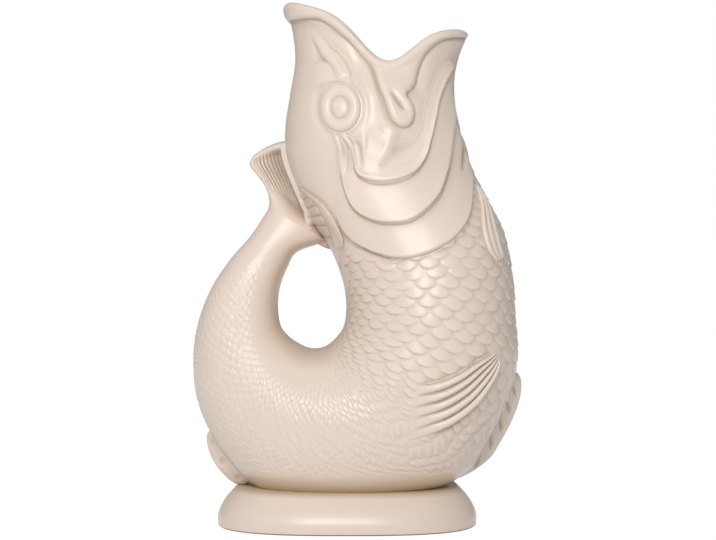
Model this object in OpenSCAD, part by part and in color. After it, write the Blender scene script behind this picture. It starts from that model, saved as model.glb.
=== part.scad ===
// Gurgle jug: a standing fish whose open mouth pours and whose hollow tail curls up as the handle.
// Frame: origin in the middle of the foot's underside, Z up, spout towards +X, millimetres.
// The fish is a loft along its spine, from the lip (station 0) round the belly to the tail (station 25).
// A place on its side is given as a share of jug_l along X and of jug_h along Z.

/* [Jug] */
// Height from the table to the top of the upper lip
jug_h = 250; // [200:5:300]
// Length from the back of the tail to the front keel
jug_l = 160; // [130:2:190]
// Width across the belly
jug_w = 106; // [88:2:124]
// Thickness of the cast walls
wall = 4.5; // [3.5:0.5:5.5]

/* [Foot] */
// Height of the foot under the belly
foot_h = 18; // [15:0.5:21]
// Length of the foot on the table
foot_l = 124; // [116:1:134]
// Width of the foot on the table
foot_w = 92; // [84:1:100]
// Width of the ring that stands on the table
foot_wall = 8; // [6:0.5:10]
// Amount by which the foot draws in to its waist, on each side
foot_waist = 9.3; // [7:0.1:11]

/* [Mouth] */
// Height of the rolled lip above the line where it is widest
lip_rise = 3.5; // [2.5:0.25:4.5]
// Amount by which the rolled lip stands out from the head
lip_bulge = 2.2; // [1:0.1:3]
// Depth of the saddle between the two jaws
saddle_h = 20.2; // [14:0.1:25]
// Height of the fold at each corner of the mouth
corner_rise = 2.6; // [1.6:0.1:3.6]

/* [Face] */
// Length of the eye ring
eye_l = 19; // [15:0.5:22]
// Height of the eye ring
eye_h = 22.5; // [18:0.5:25]
// Amount by which the eye stands out
eye_rise = 3.2; // [2:0.1:4]
// Amount by which the brow ridge stands out
brow_rise = 2.4; // [1.4:0.1:3.4]
// Amount by which the gill plates stand out
gill_rise = 3.2; // [2:0.1:4]

/* [Fins] */
// Amount by which the breast fin stands out
pectoral_rise = 2.6; // [1.6:0.1:3.6]
// Ribs of the breast fin
pectoral_ribs = 5; // [3:1:6]
// Amount by which the throat fin stands out
pelvic_rise = 2.4; // [1.4:0.1:3.4]
// Ribs of the throat fin
pelvic_ribs = 3; // [2:1:4]
// Amount by which the front keel stands out
front_keel_rise = 6.5; // [5:0.25:8]
// Ribs of the front keel
front_keel_ribs = 6; // [4:1:8]
// Amount by which the rear keel stands out
rear_keel_rise = 7; // [5:0.25:9]
// Ribs of the rear keel
rear_keel_ribs = 3; // [2:1:4]
// Half the thickness of the tail fin at its free edge
tail_edge = 2.6; // [1.8:0.1:3.4]
// Half the thickness of the tail fin in its ribbed hollow
tail_hollow = 3.6; // [2.6:0.1:4.6]
// Ribs in the hollow of the tail fin
tail_ribs = 6; // [4:1:7]
// Amount by which the tail's side lobe stands out on the neck
lobe_rise = 3.4; // [2.4:0.1:4.4]
// Ribs of the side lobe
lobe_ribs = 6; // [4:1:7]

/* [Hidden] */

// Cream glaze
glaze = [0.91, 0.85, 0.79];
// Facets round the fish, the foot and the eye
fish_facets = 40;
foot_facets = 40;
eye_facets = 16;
// Rows of facets along each section of the fish
head_rows = 8;
breast_rows = 8;
belly_rows = 8;
bend_rows = 7;
riser_rows = 7;
chamber_rows = 6;
// Rows of facets along each sprig
gill_rows = 16;
fold_rows = 8;
pectoral_rows = 10;
// Halvings that find a station, and the stations that sprigs sit between
search_steps = 16;
sprig_stations = [0, 15];
// Side view that the places on the sides are taken from: the eye's place as shares of jug_l and jug_h, its
// distance as a share of jug_l, and the turns that bring a seen place down to the skin
view_shares = [0.0325, 0.4856];
view_distance_share = 5;
view_turns = 3;
// Gap between a sprig and the skin it sits on
seat = 0.25;
// Thickness of a sprig at its thin edge
thin = 0.5;
// Depth by which the foot's cutting block reaches past it
overrun = 1;

// Exponents of the rounded oval sections of the fish and of the foot
fish_power = 0.9;
foot_power = 0.73;

// Stations of the spine: [front x, front z, back x, back z, half width, saddle], as shares of
// jug_l, jug_h, jug_l, jug_h, jug_w and saddle_h
fish_shares = [
    [0.358, 0.932, -0.181, 0.987, 0.300, 1.00],
    [0.338, 0.900, -0.164, 0.942, 0.300, 0.72],
    [0.324, 0.856, -0.157, 0.888, 0.321, 0.32],
    [0.325, 0.808, -0.171, 0.828, 0.363, 0.08],
    [0.339, 0.762, -0.186, 0.764, 0.387, 0],
    [0.361, 0.718, -0.184, 0.708, 0.392, 0],
    [0.378, 0.672, -0.156, 0.652, 0.396, 0],
    [0.422, 0.618, -0.109, 0.584, 0.425, 0],
    [0.472, 0.552, -0.050, 0.526, 0.458, 0],
    [0.497, 0.472, -0.014, 0.466, 0.486, 0],
    [0.505, 0.388, -0.003, 0.418, 0.500, 0],
    [0.511, 0.320, -0.009, 0.380, 0.500, 0],
    [0.484, 0.244, -0.027, 0.360, 0.500, 0],
    [0.431, 0.170, -0.050, 0.345, 0.491, 0],
    [0.338, 0.088, -0.075, 0.336, 0.472, 0],
    [0.138, 0.044, -0.103, 0.334, 0.443, 0],
    [-0.075, 0.036, -0.125, 0.337, 0.410, 0],
    [-0.250, 0.060, -0.150, 0.345, 0.368, 0],
    [-0.375, 0.136, -0.178, 0.358, 0.316, 0],
    [-0.447, 0.224, -0.200, 0.376, 0.269, 0],
    [-0.465, 0.308, -0.208, 0.400, 0.231, 0],
    [-0.452, 0.380, -0.209, 0.428, 0.203, 0],
    [-0.413, 0.448, -0.201, 0.458, 0.177, 0],
    [-0.353, 0.506, -0.181, 0.490, 0.151, 0],
    [-0.291, 0.552, -0.152, 0.520, 0.122, 0],
    [-0.239, 0.602, -0.072, 0.539, 0.100, 0]];
// Middle and half width of the saddle, as shares of half the mouth's length
saddle_share = 0.1;
saddle_w_share = 0.42;
// Fall of the lip from both of its tips, as a share of saddle_h, and how soon it is reached
tip_fall_share = 0.17;
tip_power = 4;
// Share of the lip's bulge that is left in the saddle
saddle_lip_share = 0.3;

// Stations where the shells meet: lip, neck, breast, keel, bend, end of the air chamber, tail's end
shell_stations = [0.45, 6, 11, 16, 20.5, 24.3, 25];
rim_station = shell_stations[0];
neck_station = shell_stations[1];
breast_station = shell_stations[2];
keel_station = shell_stations[3];
bend_station = shell_stations[4];
chamber_station = shell_stations[5];
root_station = shell_stations[6];

// Lip section: [station, share of lip_bulge outwards, share of wall inwards, share of lip_rise]
lip_shares = [
    [rim_station, 0, 0, 0],
    [0.28, 0.45, 0, 0],
    [0.08, 1, 0, 0],
    [0, 0.95, 0, 0.4],
    [0, 0.3, 0, 0.88],
    [0, 0, 0.4, 1],
    [0, 0, 0.85, 0.65],
    [0.1, 0, 1.05, 0],
    [rim_station, 0, 1, 0]];

// Foot section outside, from the table up: [share of foot_h, share of foot_waist drawn in]
foot_outer_shares = [[0, 0.06], [0.04, 0.01], [0.25, 0], [0.45, 0.13], [0.65, 0.37], [0.85, 0.7], [1, 1]];
// Foot section inside, from the top down: [share of foot_h, share of foot_wall drawn in]
foot_inner_shares = [[1, 2.9], [0.8, 1.9], [0.55, 1.25], [0, 1]];

// Middle of the eye
eye_share = [-0.02, 0.799];
// Eye from its middle out over the top, then back under it: [share of the eye's half size, share of eye_rise]
eye_high_shares = [[0.05, 1], [0.25, 0.92], [0.44, 0.62], [0.5, 0.3], [0.6, 0.62], [0.78, 0.78], [0.93, 0.5],
    [1, 0]];
eye_low_shares = [[1, 0], [0.5, 0], [0.05, 0]];

// Gill plates from throat to nape: rows of [inner start, inner edge, middle edge, outer edge]
gill_shares = [
    [[0.306, 0.899], [0.320, 0.886], [0.316, 0.803], [0.365, 0.681]],
    [[0.274, 0.880], [0.290, 0.851], [0.314, 0.784], [0.370, 0.660]],
    [[0.247, 0.841], [0.269, 0.812], [0.312, 0.759], [0.371, 0.636]],
    [[0.229, 0.812], [0.259, 0.776], [0.308, 0.735], [0.370, 0.611]],
    [[0.223, 0.787], [0.247, 0.739], [0.304, 0.707], [0.366, 0.590]],
    [[0.208, 0.766], [0.232, 0.702], [0.294, 0.668], [0.352, 0.567]],
    [[0.183, 0.752], [0.202, 0.673], [0.270, 0.624], [0.310, 0.538]],
    [[0.150, 0.751], [0.156, 0.659], [0.202, 0.583], [0.235, 0.513]],
    [[0.123, 0.758], [0.109, 0.654], [0.132, 0.575], [0.159, 0.506]],
    [[0.108, 0.774], [0.063, 0.658], [0.069, 0.584], [0.081, 0.519]],
    [[0.093, 0.789], [0.031, 0.672], [0.017, 0.609], [0.011, 0.545]],
    [[0.078, 0.807], [0.019, 0.704], [-0.015, 0.657], [-0.028, 0.578]],
    [[0.060, 0.818], [0.009, 0.735], [-0.026, 0.721], [-0.049, 0.623]]];
// Steps of the gill plates: [place between the four edges, share of gill_rise]
gill_step_shares = [[0, 0.1], [0.5, 0.45], [0.96, 1], [1.04, 0.5], [1.5, 0.7], [1.97, 0.95], [2.03, 0.4],
    [2.5, 0.55], [2.94, 0.8], [3, 0.1]];

// Ridge over the eye, from the lip down: rows of [back edge, front edge]
brow_shares = [
    [[-0.084, 0.928], [-0.069, 0.932]],
    [[-0.066, 0.909], [-0.036, 0.914]],
    [[-0.048, 0.886], [-0.006, 0.889]],
    [[-0.033, 0.868], [0.012, 0.868]],
    [[-0.021, 0.856], [0.015, 0.854]]];
// Section of the ridge: [share of its width, share of brow_rise]
brow_section_shares = [[0, 0], [0.25, 0.7], [0.5, 1], [0.75, 0.7], [1, 0]];
// Fold at the corner of the mouth, from the saddle down: rows of [back edge, front edge]
corner_shares = [
    [[0.090, 0.845], [0.165, 0.836]],
    [[0.105, 0.820], [0.186, 0.822]],
    [[0.117, 0.797], [0.204, 0.799]],
    [[0.135, 0.778], [0.208, 0.780]],
    [[0.162, 0.762], [0.198, 0.764]]];
// Section of the fold: [share of its width, share of corner_rise]
corner_section_shares = [[0, 0], [0.12, 0.8], [0.3, 0.9], [0.5, 0.3], [0.7, 0.9], [0.88, 1], [1, 0]];
// Breast fin, from its root in front to its free end: rows of [upper edge, lower edge]
pectoral_shares = [
    [[0.453, 0.330], [0.459, 0.320]],
    [[0.393, 0.309], [0.438, 0.276]],
    [[0.330, 0.284], [0.381, 0.222]],
    [[0.264, 0.268], [0.297, 0.181]],
    [[0.192, 0.262], [0.180, 0.149]]];
// Throat fin, from its root to its tip: rows of [back edge, front edge]
pelvic_shares = [
    [[0.384, 0.654], [0.392, 0.650]],
    [[0.396, 0.614], [0.426, 0.602]],
    [[0.402, 0.564], [0.447, 0.560]],
    [[0.420, 0.523], [0.462, 0.523]],
    [[0.453, 0.496], [0.468, 0.504]]];
// Side lobe on the neck, from its upper to its lower edge: rows of [root, rim]
lobe_shares = [
    [[-0.138, 0.632], [-0.131, 0.640]],
    [[-0.125, 0.612], [-0.105, 0.624]],
    [[-0.110, 0.591], [-0.075, 0.603]],
    [[-0.093, 0.573], [-0.048, 0.577]],
    [[-0.075, 0.555], [-0.024, 0.551]],
    [[-0.054, 0.538], [-0.005, 0.530]]];
// Section of the side lobe from its root to its rim: [share of the way, share of lobe_rise, share that
// the ribs add]
lobe_section_shares = [[0, 0.2, 0.35], [0.3, 0.2, 0.35], [0.6, 0.2, 0.35], [0.8, 0.2, 0.35], [0.85, 1, 0],
    [0.93, 1, 0], [1, 0.1, 0]];

// Free edge of the tail fin, from its root to its tip
tail_edge_shares = [[-0.239, 0.602], [-0.235, 0.620], [-0.246, 0.645], [-0.272, 0.669], [-0.294, 0.688],
    [-0.285, 0.706]];
// Stations on the back of the neck and head from the foot of the tail fin to its top
tail_fin_stations = [7.72, 4.5];
// Angle from the back of the head that the tail fin's band covers
tail_band_angle = 12;
// Width of that band as a share of the fin's chord, and its inner edge's height as a share of its own
tail_band_share = 0.14;
band_edge_share = 0.92;
// Rows of the fin from its rolled top down: [share of its height, share of the rim, share of thickness]
fin_row_shares = [[1, 1, 0.6], [0.95, 1, 1], [0.87, 0.8, 1], [0.79, 0, 1], [0.62, 0, 1], [0.45, 0, 1],
    [0.28, 0, 1], [0.12, 0, 1], [0, 0, 1]];
// Rolled free edge of the fin: [share of its chord, share of tail_edge]
fin_edge_shares = [[0, 0.5], [0.05, 1], [0.12, 1]];
// Ribbed hollow of the fin: its first column, how much it thins across, and its valleys
hollow_share = 0.18;
hollow_taper_share = 0.5;
hollow_valley_share = 0.75;
// Shares of the fin's height over which the tail's round end turns into the blade: start, length at the
// free edge, and how much shorter it is at the head
blade_shares = [0.04, 0.5, 0.3];
// Share of the tail's end at which the fin's last column but one starts
root_seam_share = 0.98;
// Angle from the front of the fin's last column, beside the centre line
fin_back_angle = 179;

// Stations where each keel begins and ends, and the angle that its foot covers on each side
front_keel_stations = [11.4, 14.05];
rear_keel_stations = [17.3, 18.45];
front_keel_angle = 8;
rear_keel_angle = 13;
// Keel section from one side to the other: [share of the angle, share of the rise, share cut by grooves]
keel_shares = [[-1, 0.07, 0], [-0.6, 0.3, 0.4], [-0.4, 0.8, 0.4], [0, 1, 0], [0.4, 0.8, 0.4],
    [0.6, 0.3, 0.4], [1, 0.07, 0]];
// Height of the valleys between the ribs of the fins, as a share of the ribs
rib_valley_share = 0.25;
// Bluntness of a sprig's two ends
swell_power = 4;

// Smooth row between the two middle ones of four
function smooth_row(a, b, c, d, t) =
    b + (c - a) * t / 2 + (a * 2 - b * 5 + c * 4 - d) * t * t / 2 + (b * 3 - a - c * 3 + d) * t * t * t / 2;

// Row number i of a table, carried on in a straight line past both of its ends
function row_at(rows, i) =
    i < 0 ? rows[0] * 2 - rows[1] :
    i > len(rows) - 1 ? rows[len(rows) - 1] * 2 - rows[len(rows) - 2] : rows[i];

// Smooth row of a table at place s
function along(rows, s) =
    let (i = min(floor(s), len(rows) - 2))
    smooth_row(row_at(rows, i - 1), row_at(rows, i), row_at(rows, i + 1), row_at(rows, i + 2), s - i);

// Numbers from a to b in n equal steps
function steps(a, b, n) = [for (i = [0:n]) a + (b - a) * i / n];

// Rounded cosine and sine of an oval
function oval(v, power) = sign(v) * pow(abs(v), power);

// Station of the spine in millimetres: [front, back, half width, saddle depth]
function station(s) =
    let (k = along(fish_shares, s))
    [[k[0] * jug_l, k[1] * jug_h], [k[2] * jug_l, k[3] * jug_h], k[4] * jug_w, max(k[5], 0) * saddle_h];

// Dip between the jaws at place u, from -1 at the back to 1 at the spout
function dip(u) = exp(-pow((u - saddle_share) / saddle_w_share, 2));

// Drop of the lip at place u, as a share of saddle_h
function saddle(u) = dip(u) + tip_fall_share * (1 - pow(u, tip_power));

// Point of the fish's skin at a station and an angle from the front, moved outwards by off
function skin(s, angle, off = 0) =
    let (
        k = station(s),
        chord = k[0] - k[1],
        half = norm(chord) / 2,
        u = oval(cos(angle), fish_power),
        place = (k[0] + k[1]) / 2 + chord * u * (half + off) / (2 * half),
        z = place[1] - k[3] * saddle(u)
    )
    [place[0], (k[2] + off) * oval(sin(angle), fish_power), max(z, foot_h - min(off, 0))];

// Height of a place in the side view over the chord of a station
function over_chord(s, p) =
    let (
        k = station(s),
        chord = k[0] - k[1],
        u = (p - (k[0] + k[1]) / 2) * chord * 2 / (chord * chord),
        q = p + [0, k[3] * saddle(u)] - k[1]
    )
    chord[0] * q[1] - chord[1] * q[0];

// Station whose chord runs through a place in the side view
function station_of(p, low, high, n = search_steps) =
    let (mid = (low + high) / 2)
    n == 0 ? mid : over_chord(mid, p) > 0 ? station_of(p, low, mid, n - 1) : station_of(p, mid, high, n - 1);

// Station and angle on the left side behind a place in the side view
function flank(p) =
    let (
        s = station_of(p, sprig_stations[0], sprig_stations[1]),
        k = station(s),
        chord = k[0] - k[1],
        u = max(-1, min(1, (p - (k[0] + k[1]) / 2) * chord * 2 / (chord * chord)))
    )
    [s, acos(oval(u, 1 / fish_power))];

// Place in the side view given in shares
function place_of(share) = [share[0] * jug_l, share[1] * jug_h];

// Station and angle on the left side of what the eye sees at a place, drawn in by the skin's nearness
function seen(view, p, n = view_turns) =
    let (
        f = flank(p),
        eye = place_of(view_shares),
        nearness = skin(f[0], f[1])[1] / (view_distance_share * jug_l)
    )
    n == 0 ? f : seen(view, eye + (view - eye) * (1 - nearness), n - 1);

// Height of a ribbed fin at share v of its width, from its valleys up to 1 on its crests
function rib(v, ribs, valley) = valley + (1 - valley) * (1 - abs(cos(180 * ribs * v)));

// Closed solid through rings of points. A wrapped one joins its last ring to its first.
module ring_solid(rings, wrap = false) {
    n = len(rings[0]);
    m = len(rings);
    faces = [
        for (i = [0:(wrap ? m - 1 : m - 2)])
            for (j = [0:n - 1])
                let (k = (j + 1) % n, a = i * n, b = ((i + 1) % m) * n)
                each [[a + j, b + k, a + k], [a + j, b + j, b + k]],
        if (!wrap) [for (j = [0:n - 1]) j],
        if (!wrap) [for (j = [n - 1:-1:0]) (m - 1) * n + j]];
    polyhedron([for (r = rings) each r], faces);
}

// Closed solid between two grids of points that lie over each other
module slab(low, high) {
    n = len(low[0]);
    m = len(low);
    loop = 2 * n;
    points = [for (i = [0:m - 1]) each concat(low[i], [for (j = [n - 1:-1:0]) high[i][j]])];
    faces = [
        for (i = [0:m - 2])
            for (j = [0:loop - 1])
                let (k = (j + 1) % loop, a = i * loop, b = (i + 1) * loop)
                each [[a + j, a + k, b + k], [a + j, b + k, b + j]],
        for (j = [0:n - 2])
            let (c = loop - 1 - j, e = (m - 1) * loop)
            each [[j, c - 1, j + 1], [j, c, c - 1], [e + j, e + j + 1, e + c - 1], [e + j, e + c - 1, e + c]]];
    polyhedron(points, faces);
}

// Sprig on the left side: rows and columns of places, each with its height over the skin
module sprig(grid) {
    rows = [for (r = grid) [for (p = r) concat(seen(place_of(p), place_of(p)), p[2])]];
    slab([for (r = rows) [for (p = r) skin(p[0], p[1], seat)]],
        [for (r = rows) [for (p = r) skin(p[0], p[1], seat + thin + p[2])]]);
}

// Grid of a sprig between two edges, with a section of places across it and their shares of its rise
function strip_grid(rows, count, section, rise) =
    [for (s = steps(0, len(rows) - 1, count))
        let (r = along(rows, s), t = s / (len(rows) - 1))
        [for (c = section)
            let (p = r[0] + (r[1] - r[0]) * c[0])
            [p[0], p[1], rise * c[1] * swell(t)]]];

// Height of a sprig along its length: it grows out of the skin and ends in a soft edge
function swell(t) = sqrt(max(0, 1 - pow(abs(2 * t - 1), swell_power)));

// A share of the way between the four edges of the gill plates
function edge_at(r, place) = let (i = min(floor(place), len(r) - 2)) r[i] + (r[i + 1] - r[i]) * (place - i);

// Smooth step from 0 to 1
function ease(t) = let (c = max(0, min(1, t))) c * c * (3 - 2 * c);

function fish_ring(s, off = 0) = [for (j = [0:fish_facets - 1]) skin(s, j * 360 / fish_facets, off)];

function foot_ring(z, inset) =
    [for (j = [0:foot_facets - 1])
        let (angle = j * 360 / foot_facets)
        [(foot_l / 2 - inset) * oval(cos(angle), foot_power),
            (foot_w / 2 - inset) * oval(sin(angle), foot_power), z]];

module cast_shell(from, to, rows) {
    places = steps(to, from, rows);
    color(glaze)
    ring_solid(concat(
        [for (s = places) fish_ring(s)],
        [for (i = [rows:-1:0]) fish_ring(places[i], -wall)]), true);
}

module head_shell() {
    cast_shell(rim_station, neck_station, head_rows);
}

module breast_shell() {
    cast_shell(neck_station, breast_station, breast_rows);
}

module belly_shell() {
    cast_shell(breast_station, keel_station, belly_rows);
}

module tail_bend() {
    cast_shell(keel_station, bend_station, bend_rows);
}

// Upper part of the tail, whose air chamber is closed at the top
module tail_riser() {
    color(glaze)
    ring_solid(concat(
        [for (s = steps(root_station, bend_station, riser_rows)) fish_ring(s)],
        [for (s = steps(bend_station, chamber_station, chamber_rows)) fish_ring(s, -wall)]));
}

// Bulge of the lip at an angle from the front: full on both jaws and faint in the saddle
function bulge_at(angle) = lip_bulge * (1 - (1 - saddle_lip_share) * dip(oval(cos(angle), fish_power)));

module mouth_rim() {
    color(glaze)
    ring_solid([for (p = lip_shares)
        [for (j = [0:fish_facets - 1])
            let (angle = j * 360 / fish_facets, off = p[1] * bulge_at(angle) - p[2] * wall)
            skin(p[0], angle, off) + [0, 0, p[3] * lip_rise]]], true);
}

module foot() {
    color(glaze)
    difference() {
        ring_solid(concat(
            [foot_ring(-overrun, foot_outer_shares[0][1] * foot_waist)],
            [for (p = foot_outer_shares) if (p[0] > 0) foot_ring(p[0] * foot_h, p[1] * foot_waist)],
            [for (p = foot_inner_shares) if (p[0] > 0) foot_ring(p[0] * foot_h, p[1] * foot_wall)],
            [foot_ring(-overrun, foot_wall)]), true);
        translate([-foot_l, -foot_w, -2 * overrun])
            cube([2 * foot_l, 2 * foot_w, 2 * overrun]);
    }
}

// Left side as modelled, right side mirrored
module on_side(right) {
    color(glaze)
    mirror([0, right ? 1 : 0, 0])
    children();
}

function eye_ring(r, off) =
    let (middle = seen(place_of(eye_share), place_of(eye_share)), m = skin(middle[0], middle[1]))
    [for (j = [0:eye_facets - 1])
        let (
            angle = j * 360 / eye_facets,
            f = flank([m[0] + cos(angle) * eye_l * r / 2, m[2] + sin(angle) * eye_h * r / 2])
        )
        skin(f[0], f[1], off)];

module eye() {
    ring_solid(concat(
        [for (p = eye_high_shares) eye_ring(p[0], seat + thin + p[1] * eye_rise)],
        [for (p = eye_low_shares) eye_ring(p[0], seat)]));
}

module gill_cover() {
    sprig([for (s = steps(0, len(gill_shares) - 1, gill_rows))
        let (r = along(gill_shares, s), t = s / (len(gill_shares) - 1))
        [for (p = gill_step_shares)
            let (q = edge_at(r, p[0]))
            [q[0], q[1], gill_rise * p[1] * swell(t)]]]);
}

module brow() {
    sprig(strip_grid(brow_shares, fold_rows, brow_section_shares, brow_rise));
}

module mouth_corner() {
    sprig(strip_grid(corner_shares, fold_rows, corner_section_shares, corner_rise));
}

module ribbed_fin(rows, count, ribs, rise) {
    sprig(strip_grid(rows, count, [for (v = steps(0, 1, 2 * ribs)) [v, rib(v, ribs, rib_valley_share)]], rise));
}

module pectoral_fin() {
    ribbed_fin(pectoral_shares, pectoral_rows, pectoral_ribs, pectoral_rise);
}

module pelvic_fin() {
    ribbed_fin(pelvic_shares, fold_rows, pelvic_ribs, pelvic_rise);
}

// Height of the side lobe at share v of its fan and place c of its section
function lobe_height(v, c) = lobe_rise * (c[1] + c[2] * rib(v, lobe_ribs, rib_valley_share)) * swell(v);

module tail_lobe() {
    sprig([for (v = steps(0, 1, 2 * lobe_ribs))
        let (r = along(lobe_shares, v * (len(lobe_shares) - 1)))
        [for (c = lobe_section_shares)
            let (p = r[0] + (r[1] - r[0]) * c[0])
            [p[0], p[1], lobe_height(v, c)]]]);
}

// Half thickness of the tail's round end at share v of its chord
function root_half(v) =
    let (c = oval(abs(1 - 2 * v), 1 / fish_power))
    max(thin, station(root_station)[2] * oval(sqrt(max(0, 1 - c * c)), fish_power));

// Half thickness of the tail fin's blade at share v of its chord
function blade_half(v) =
    v < hollow_share ? tail_edge * lookup(v, fin_edge_shares) :
    tail_hollow * (1 - hollow_taper_share * (v - hollow_share)) * rib(v, tail_ribs, hollow_valley_share);

// Station on the back of the neck and head at share t of the tail fin's height
function fin_station(t) = tail_fin_stations[0] + (tail_fin_stations[1] - tail_fin_stations[0]) * t;

// Point of the tail fin's left face at row r of the fin and share v of its chord
function fin_point(r, v) =
    let (
        t = r[0],
        k = station(root_station),
        edge = along(tail_edge_shares, t * (len(tail_edge_shares) - 1)),
        s = fin_station(t),
        back = skin(s, 180, seat),
        band = skin(s, 180 - tail_band_angle * ease(4 * t), seat),
        from = [edge[0] * jug_l, edge[1] * jug_h],
        to = t == 0 ? k[1] : [back[0], back[2]],
        thick = band[1] * band_edge_share,
        rim = max(0, tail_edge + (thick - tail_edge) * v - blade_half(v)),
        half = v > 1 - tail_band_share ? thick : blade_half(v) + r[1] * rim,
        shape = ease((t - blade_shares[0]) / (blade_shares[1] - blade_shares[2] * v)),
        p = from + (to - from) * (t == 0 ? min(v, root_seam_share) : v)
    )
    t > 0 && v == 1 ? band : [p[0], (root_half(v) * (1 - shape) + half * shape) * r[2], p[1]];

// Point of the tail fin's left face next to the centre line, against the back of the head
function fin_back(t) =
    t > 0 ? skin(fin_station(t), fin_back_angle, seat) :
    let (k = station(root_station)) [k[1][0], thin / 2, k[1][1]];

module tail_fin() {
    step = (1 - tail_band_share - hollow_share) / (2 * tail_ribs + 1);
    across = concat([for (p = fin_edge_shares) p[0]],
        steps(hollow_share, 1 - tail_band_share - step / 2, 2 * tail_ribs),
        [1 - tail_band_share + step / 2, 1]);
    grid = [for (r = fin_row_shares) concat([for (v = across) fin_point(r, v)], [fin_back(r[0])])];
    color(glaze)
    slab([for (r = grid) [for (p = r) [p[0], -p[1], p[2]]]], grid);
}

// Keel on the centre line between two stations, with ribs across its flanks
module keel(stations, angle, rise, ribs) {
    places = steps(stations[0], stations[1], 2 * ribs + 2);
    function height(i, p) = rise * p[1] * (1 - p[2] * (1 - i % 2)) * swell(i / (len(places) - 1));
    color(glaze)
    slab([for (s = places) [for (p = keel_shares) skin(s, -p[0] * angle, seat)]],
        [for (i = [0:len(places) - 1])
            [for (p = keel_shares)
                let (q = skin(places[i], -p[0] * angle, seat + thin + height(i, p)))
                [q[0], q[1], max(q[2], foot_h + seat)]]]);
}

module front_keel() {
    keel(front_keel_stations, front_keel_angle, front_keel_rise, front_keel_ribs);
}

module rear_keel() {
    keel(rear_keel_stations, rear_keel_angle, rear_keel_rise, rear_keel_ribs);
}

head_shell();
breast_shell();
belly_shell();
tail_bend();
tail_riser();
mouth_rim();
foot();
tail_fin();
on_side(false) tail_lobe();  // tail_lobe_left
on_side(true) tail_lobe();  // tail_lobe_right
front_keel();
rear_keel();
on_side(false) gill_cover();  // gill_cover_left
on_side(true) gill_cover();  // gill_cover_right
on_side(false) eye();  // eye_left
on_side(true) eye();  // eye_right
on_side(false) brow();  // brow_left
on_side(true) brow();  // brow_right
on_side(false) mouth_corner();  // mouth_corner_left
on_side(true) mouth_corner();  // mouth_corner_right
on_side(false) pectoral_fin();  // pectoral_fin_left
on_side(true) pectoral_fin();  // pectoral_fin_right
on_side(false) pelvic_fin();  // pelvic_fin_left
on_side(true) pelvic_fin();  // pelvic_fin_right
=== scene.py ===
"""Gurgle jug: a standing glazed fish whose open mouth pours and whose hollow tail is the handle.

Lengths are in metres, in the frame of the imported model: the origin is in the middle of the
foot's underside, Z is up and the spout points towards +X. The fish is a loft along its spine,
from station 0 at the lip to station 25 at the tail's end. A place on its flank is a share of
the jug's length along X and of its height along Z, as the camera sees it.
"""

import logging
import math
from dataclasses import dataclass
from enum import Enum
from typing import Protocol

import bpy
import numpy as np
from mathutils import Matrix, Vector


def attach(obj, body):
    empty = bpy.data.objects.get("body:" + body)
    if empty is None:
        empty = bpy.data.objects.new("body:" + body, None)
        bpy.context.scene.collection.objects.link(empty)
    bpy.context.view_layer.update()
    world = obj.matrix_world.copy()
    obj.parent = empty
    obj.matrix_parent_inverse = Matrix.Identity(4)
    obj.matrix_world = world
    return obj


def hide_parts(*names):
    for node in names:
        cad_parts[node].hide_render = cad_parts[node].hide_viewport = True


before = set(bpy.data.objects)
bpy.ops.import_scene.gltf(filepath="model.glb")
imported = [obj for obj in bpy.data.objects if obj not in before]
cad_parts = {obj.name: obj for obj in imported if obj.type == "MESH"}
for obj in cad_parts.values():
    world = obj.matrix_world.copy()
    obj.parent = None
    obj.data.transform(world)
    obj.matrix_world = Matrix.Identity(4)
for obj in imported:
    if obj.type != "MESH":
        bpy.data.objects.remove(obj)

Array = np.ndarray
Line = tuple[tuple[float, float], ...]
Pieces = dict[str, bpy.types.Object]
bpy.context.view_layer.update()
LOG = logging.getLogger("jug")

# Stations of the spine: front x, front z, back x, back z, half width, saddle
FISH = np.array([
    (0.358, 0.932, -0.181, 0.987, 0.300, 1.00), (0.338, 0.900, -0.164, 0.942, 0.300, 0.72),
    (0.324, 0.856, -0.157, 0.888, 0.321, 0.32), (0.325, 0.808, -0.171, 0.828, 0.363, 0.08),
    (0.339, 0.762, -0.186, 0.764, 0.387, 0), (0.361, 0.718, -0.184, 0.708, 0.392, 0),
    (0.378, 0.672, -0.156, 0.652, 0.396, 0), (0.422, 0.618, -0.109, 0.584, 0.425, 0),
    (0.472, 0.552, -0.050, 0.526, 0.458, 0), (0.497, 0.472, -0.014, 0.466, 0.486, 0),
    (0.505, 0.388, -0.003, 0.418, 0.500, 0), (0.511, 0.320, -0.009, 0.380, 0.500, 0),
    (0.484, 0.244, -0.027, 0.360, 0.500, 0), (0.431, 0.170, -0.050, 0.345, 0.491, 0),
    (0.338, 0.088, -0.075, 0.336, 0.472, 0), (0.138, 0.044, -0.103, 0.334, 0.443, 0),
    (-0.075, 0.036, -0.125, 0.337, 0.410, 0), (-0.250, 0.060, -0.150, 0.345, 0.368, 0),
    (-0.375, 0.136, -0.178, 0.358, 0.316, 0), (-0.447, 0.224, -0.200, 0.376, 0.269, 0),
    (-0.465, 0.308, -0.208, 0.400, 0.231, 0), (-0.452, 0.380, -0.209, 0.428, 0.203, 0),
    (-0.413, 0.448, -0.201, 0.458, 0.177, 0), (-0.353, 0.506, -0.181, 0.490, 0.151, 0),
    (-0.291, 0.552, -0.152, 0.520, 0.122, 0), (-0.239, 0.602, -0.072, 0.539, 0.100, 0)])

# Reach over which a place is compared with its surroundings, the depth that fills it with glaze
# and the weight of that glaze, a tan that is partly pooled glaze and partly painted shade
CREASE_REACH, CREASE_DEPTH, CREASE_SHARE = 0.0006, 0.00014, 0.45
DIP_REACH, DIP_DEPTH, DIP_SHARE = 0.0021, 0.00062, 0.65
# Share of the creases, against the dips, in the ridge, which the glaze paints paler as thinned glaze and a
# painted highlight
RIDGE_SHARE = 0.6

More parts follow.
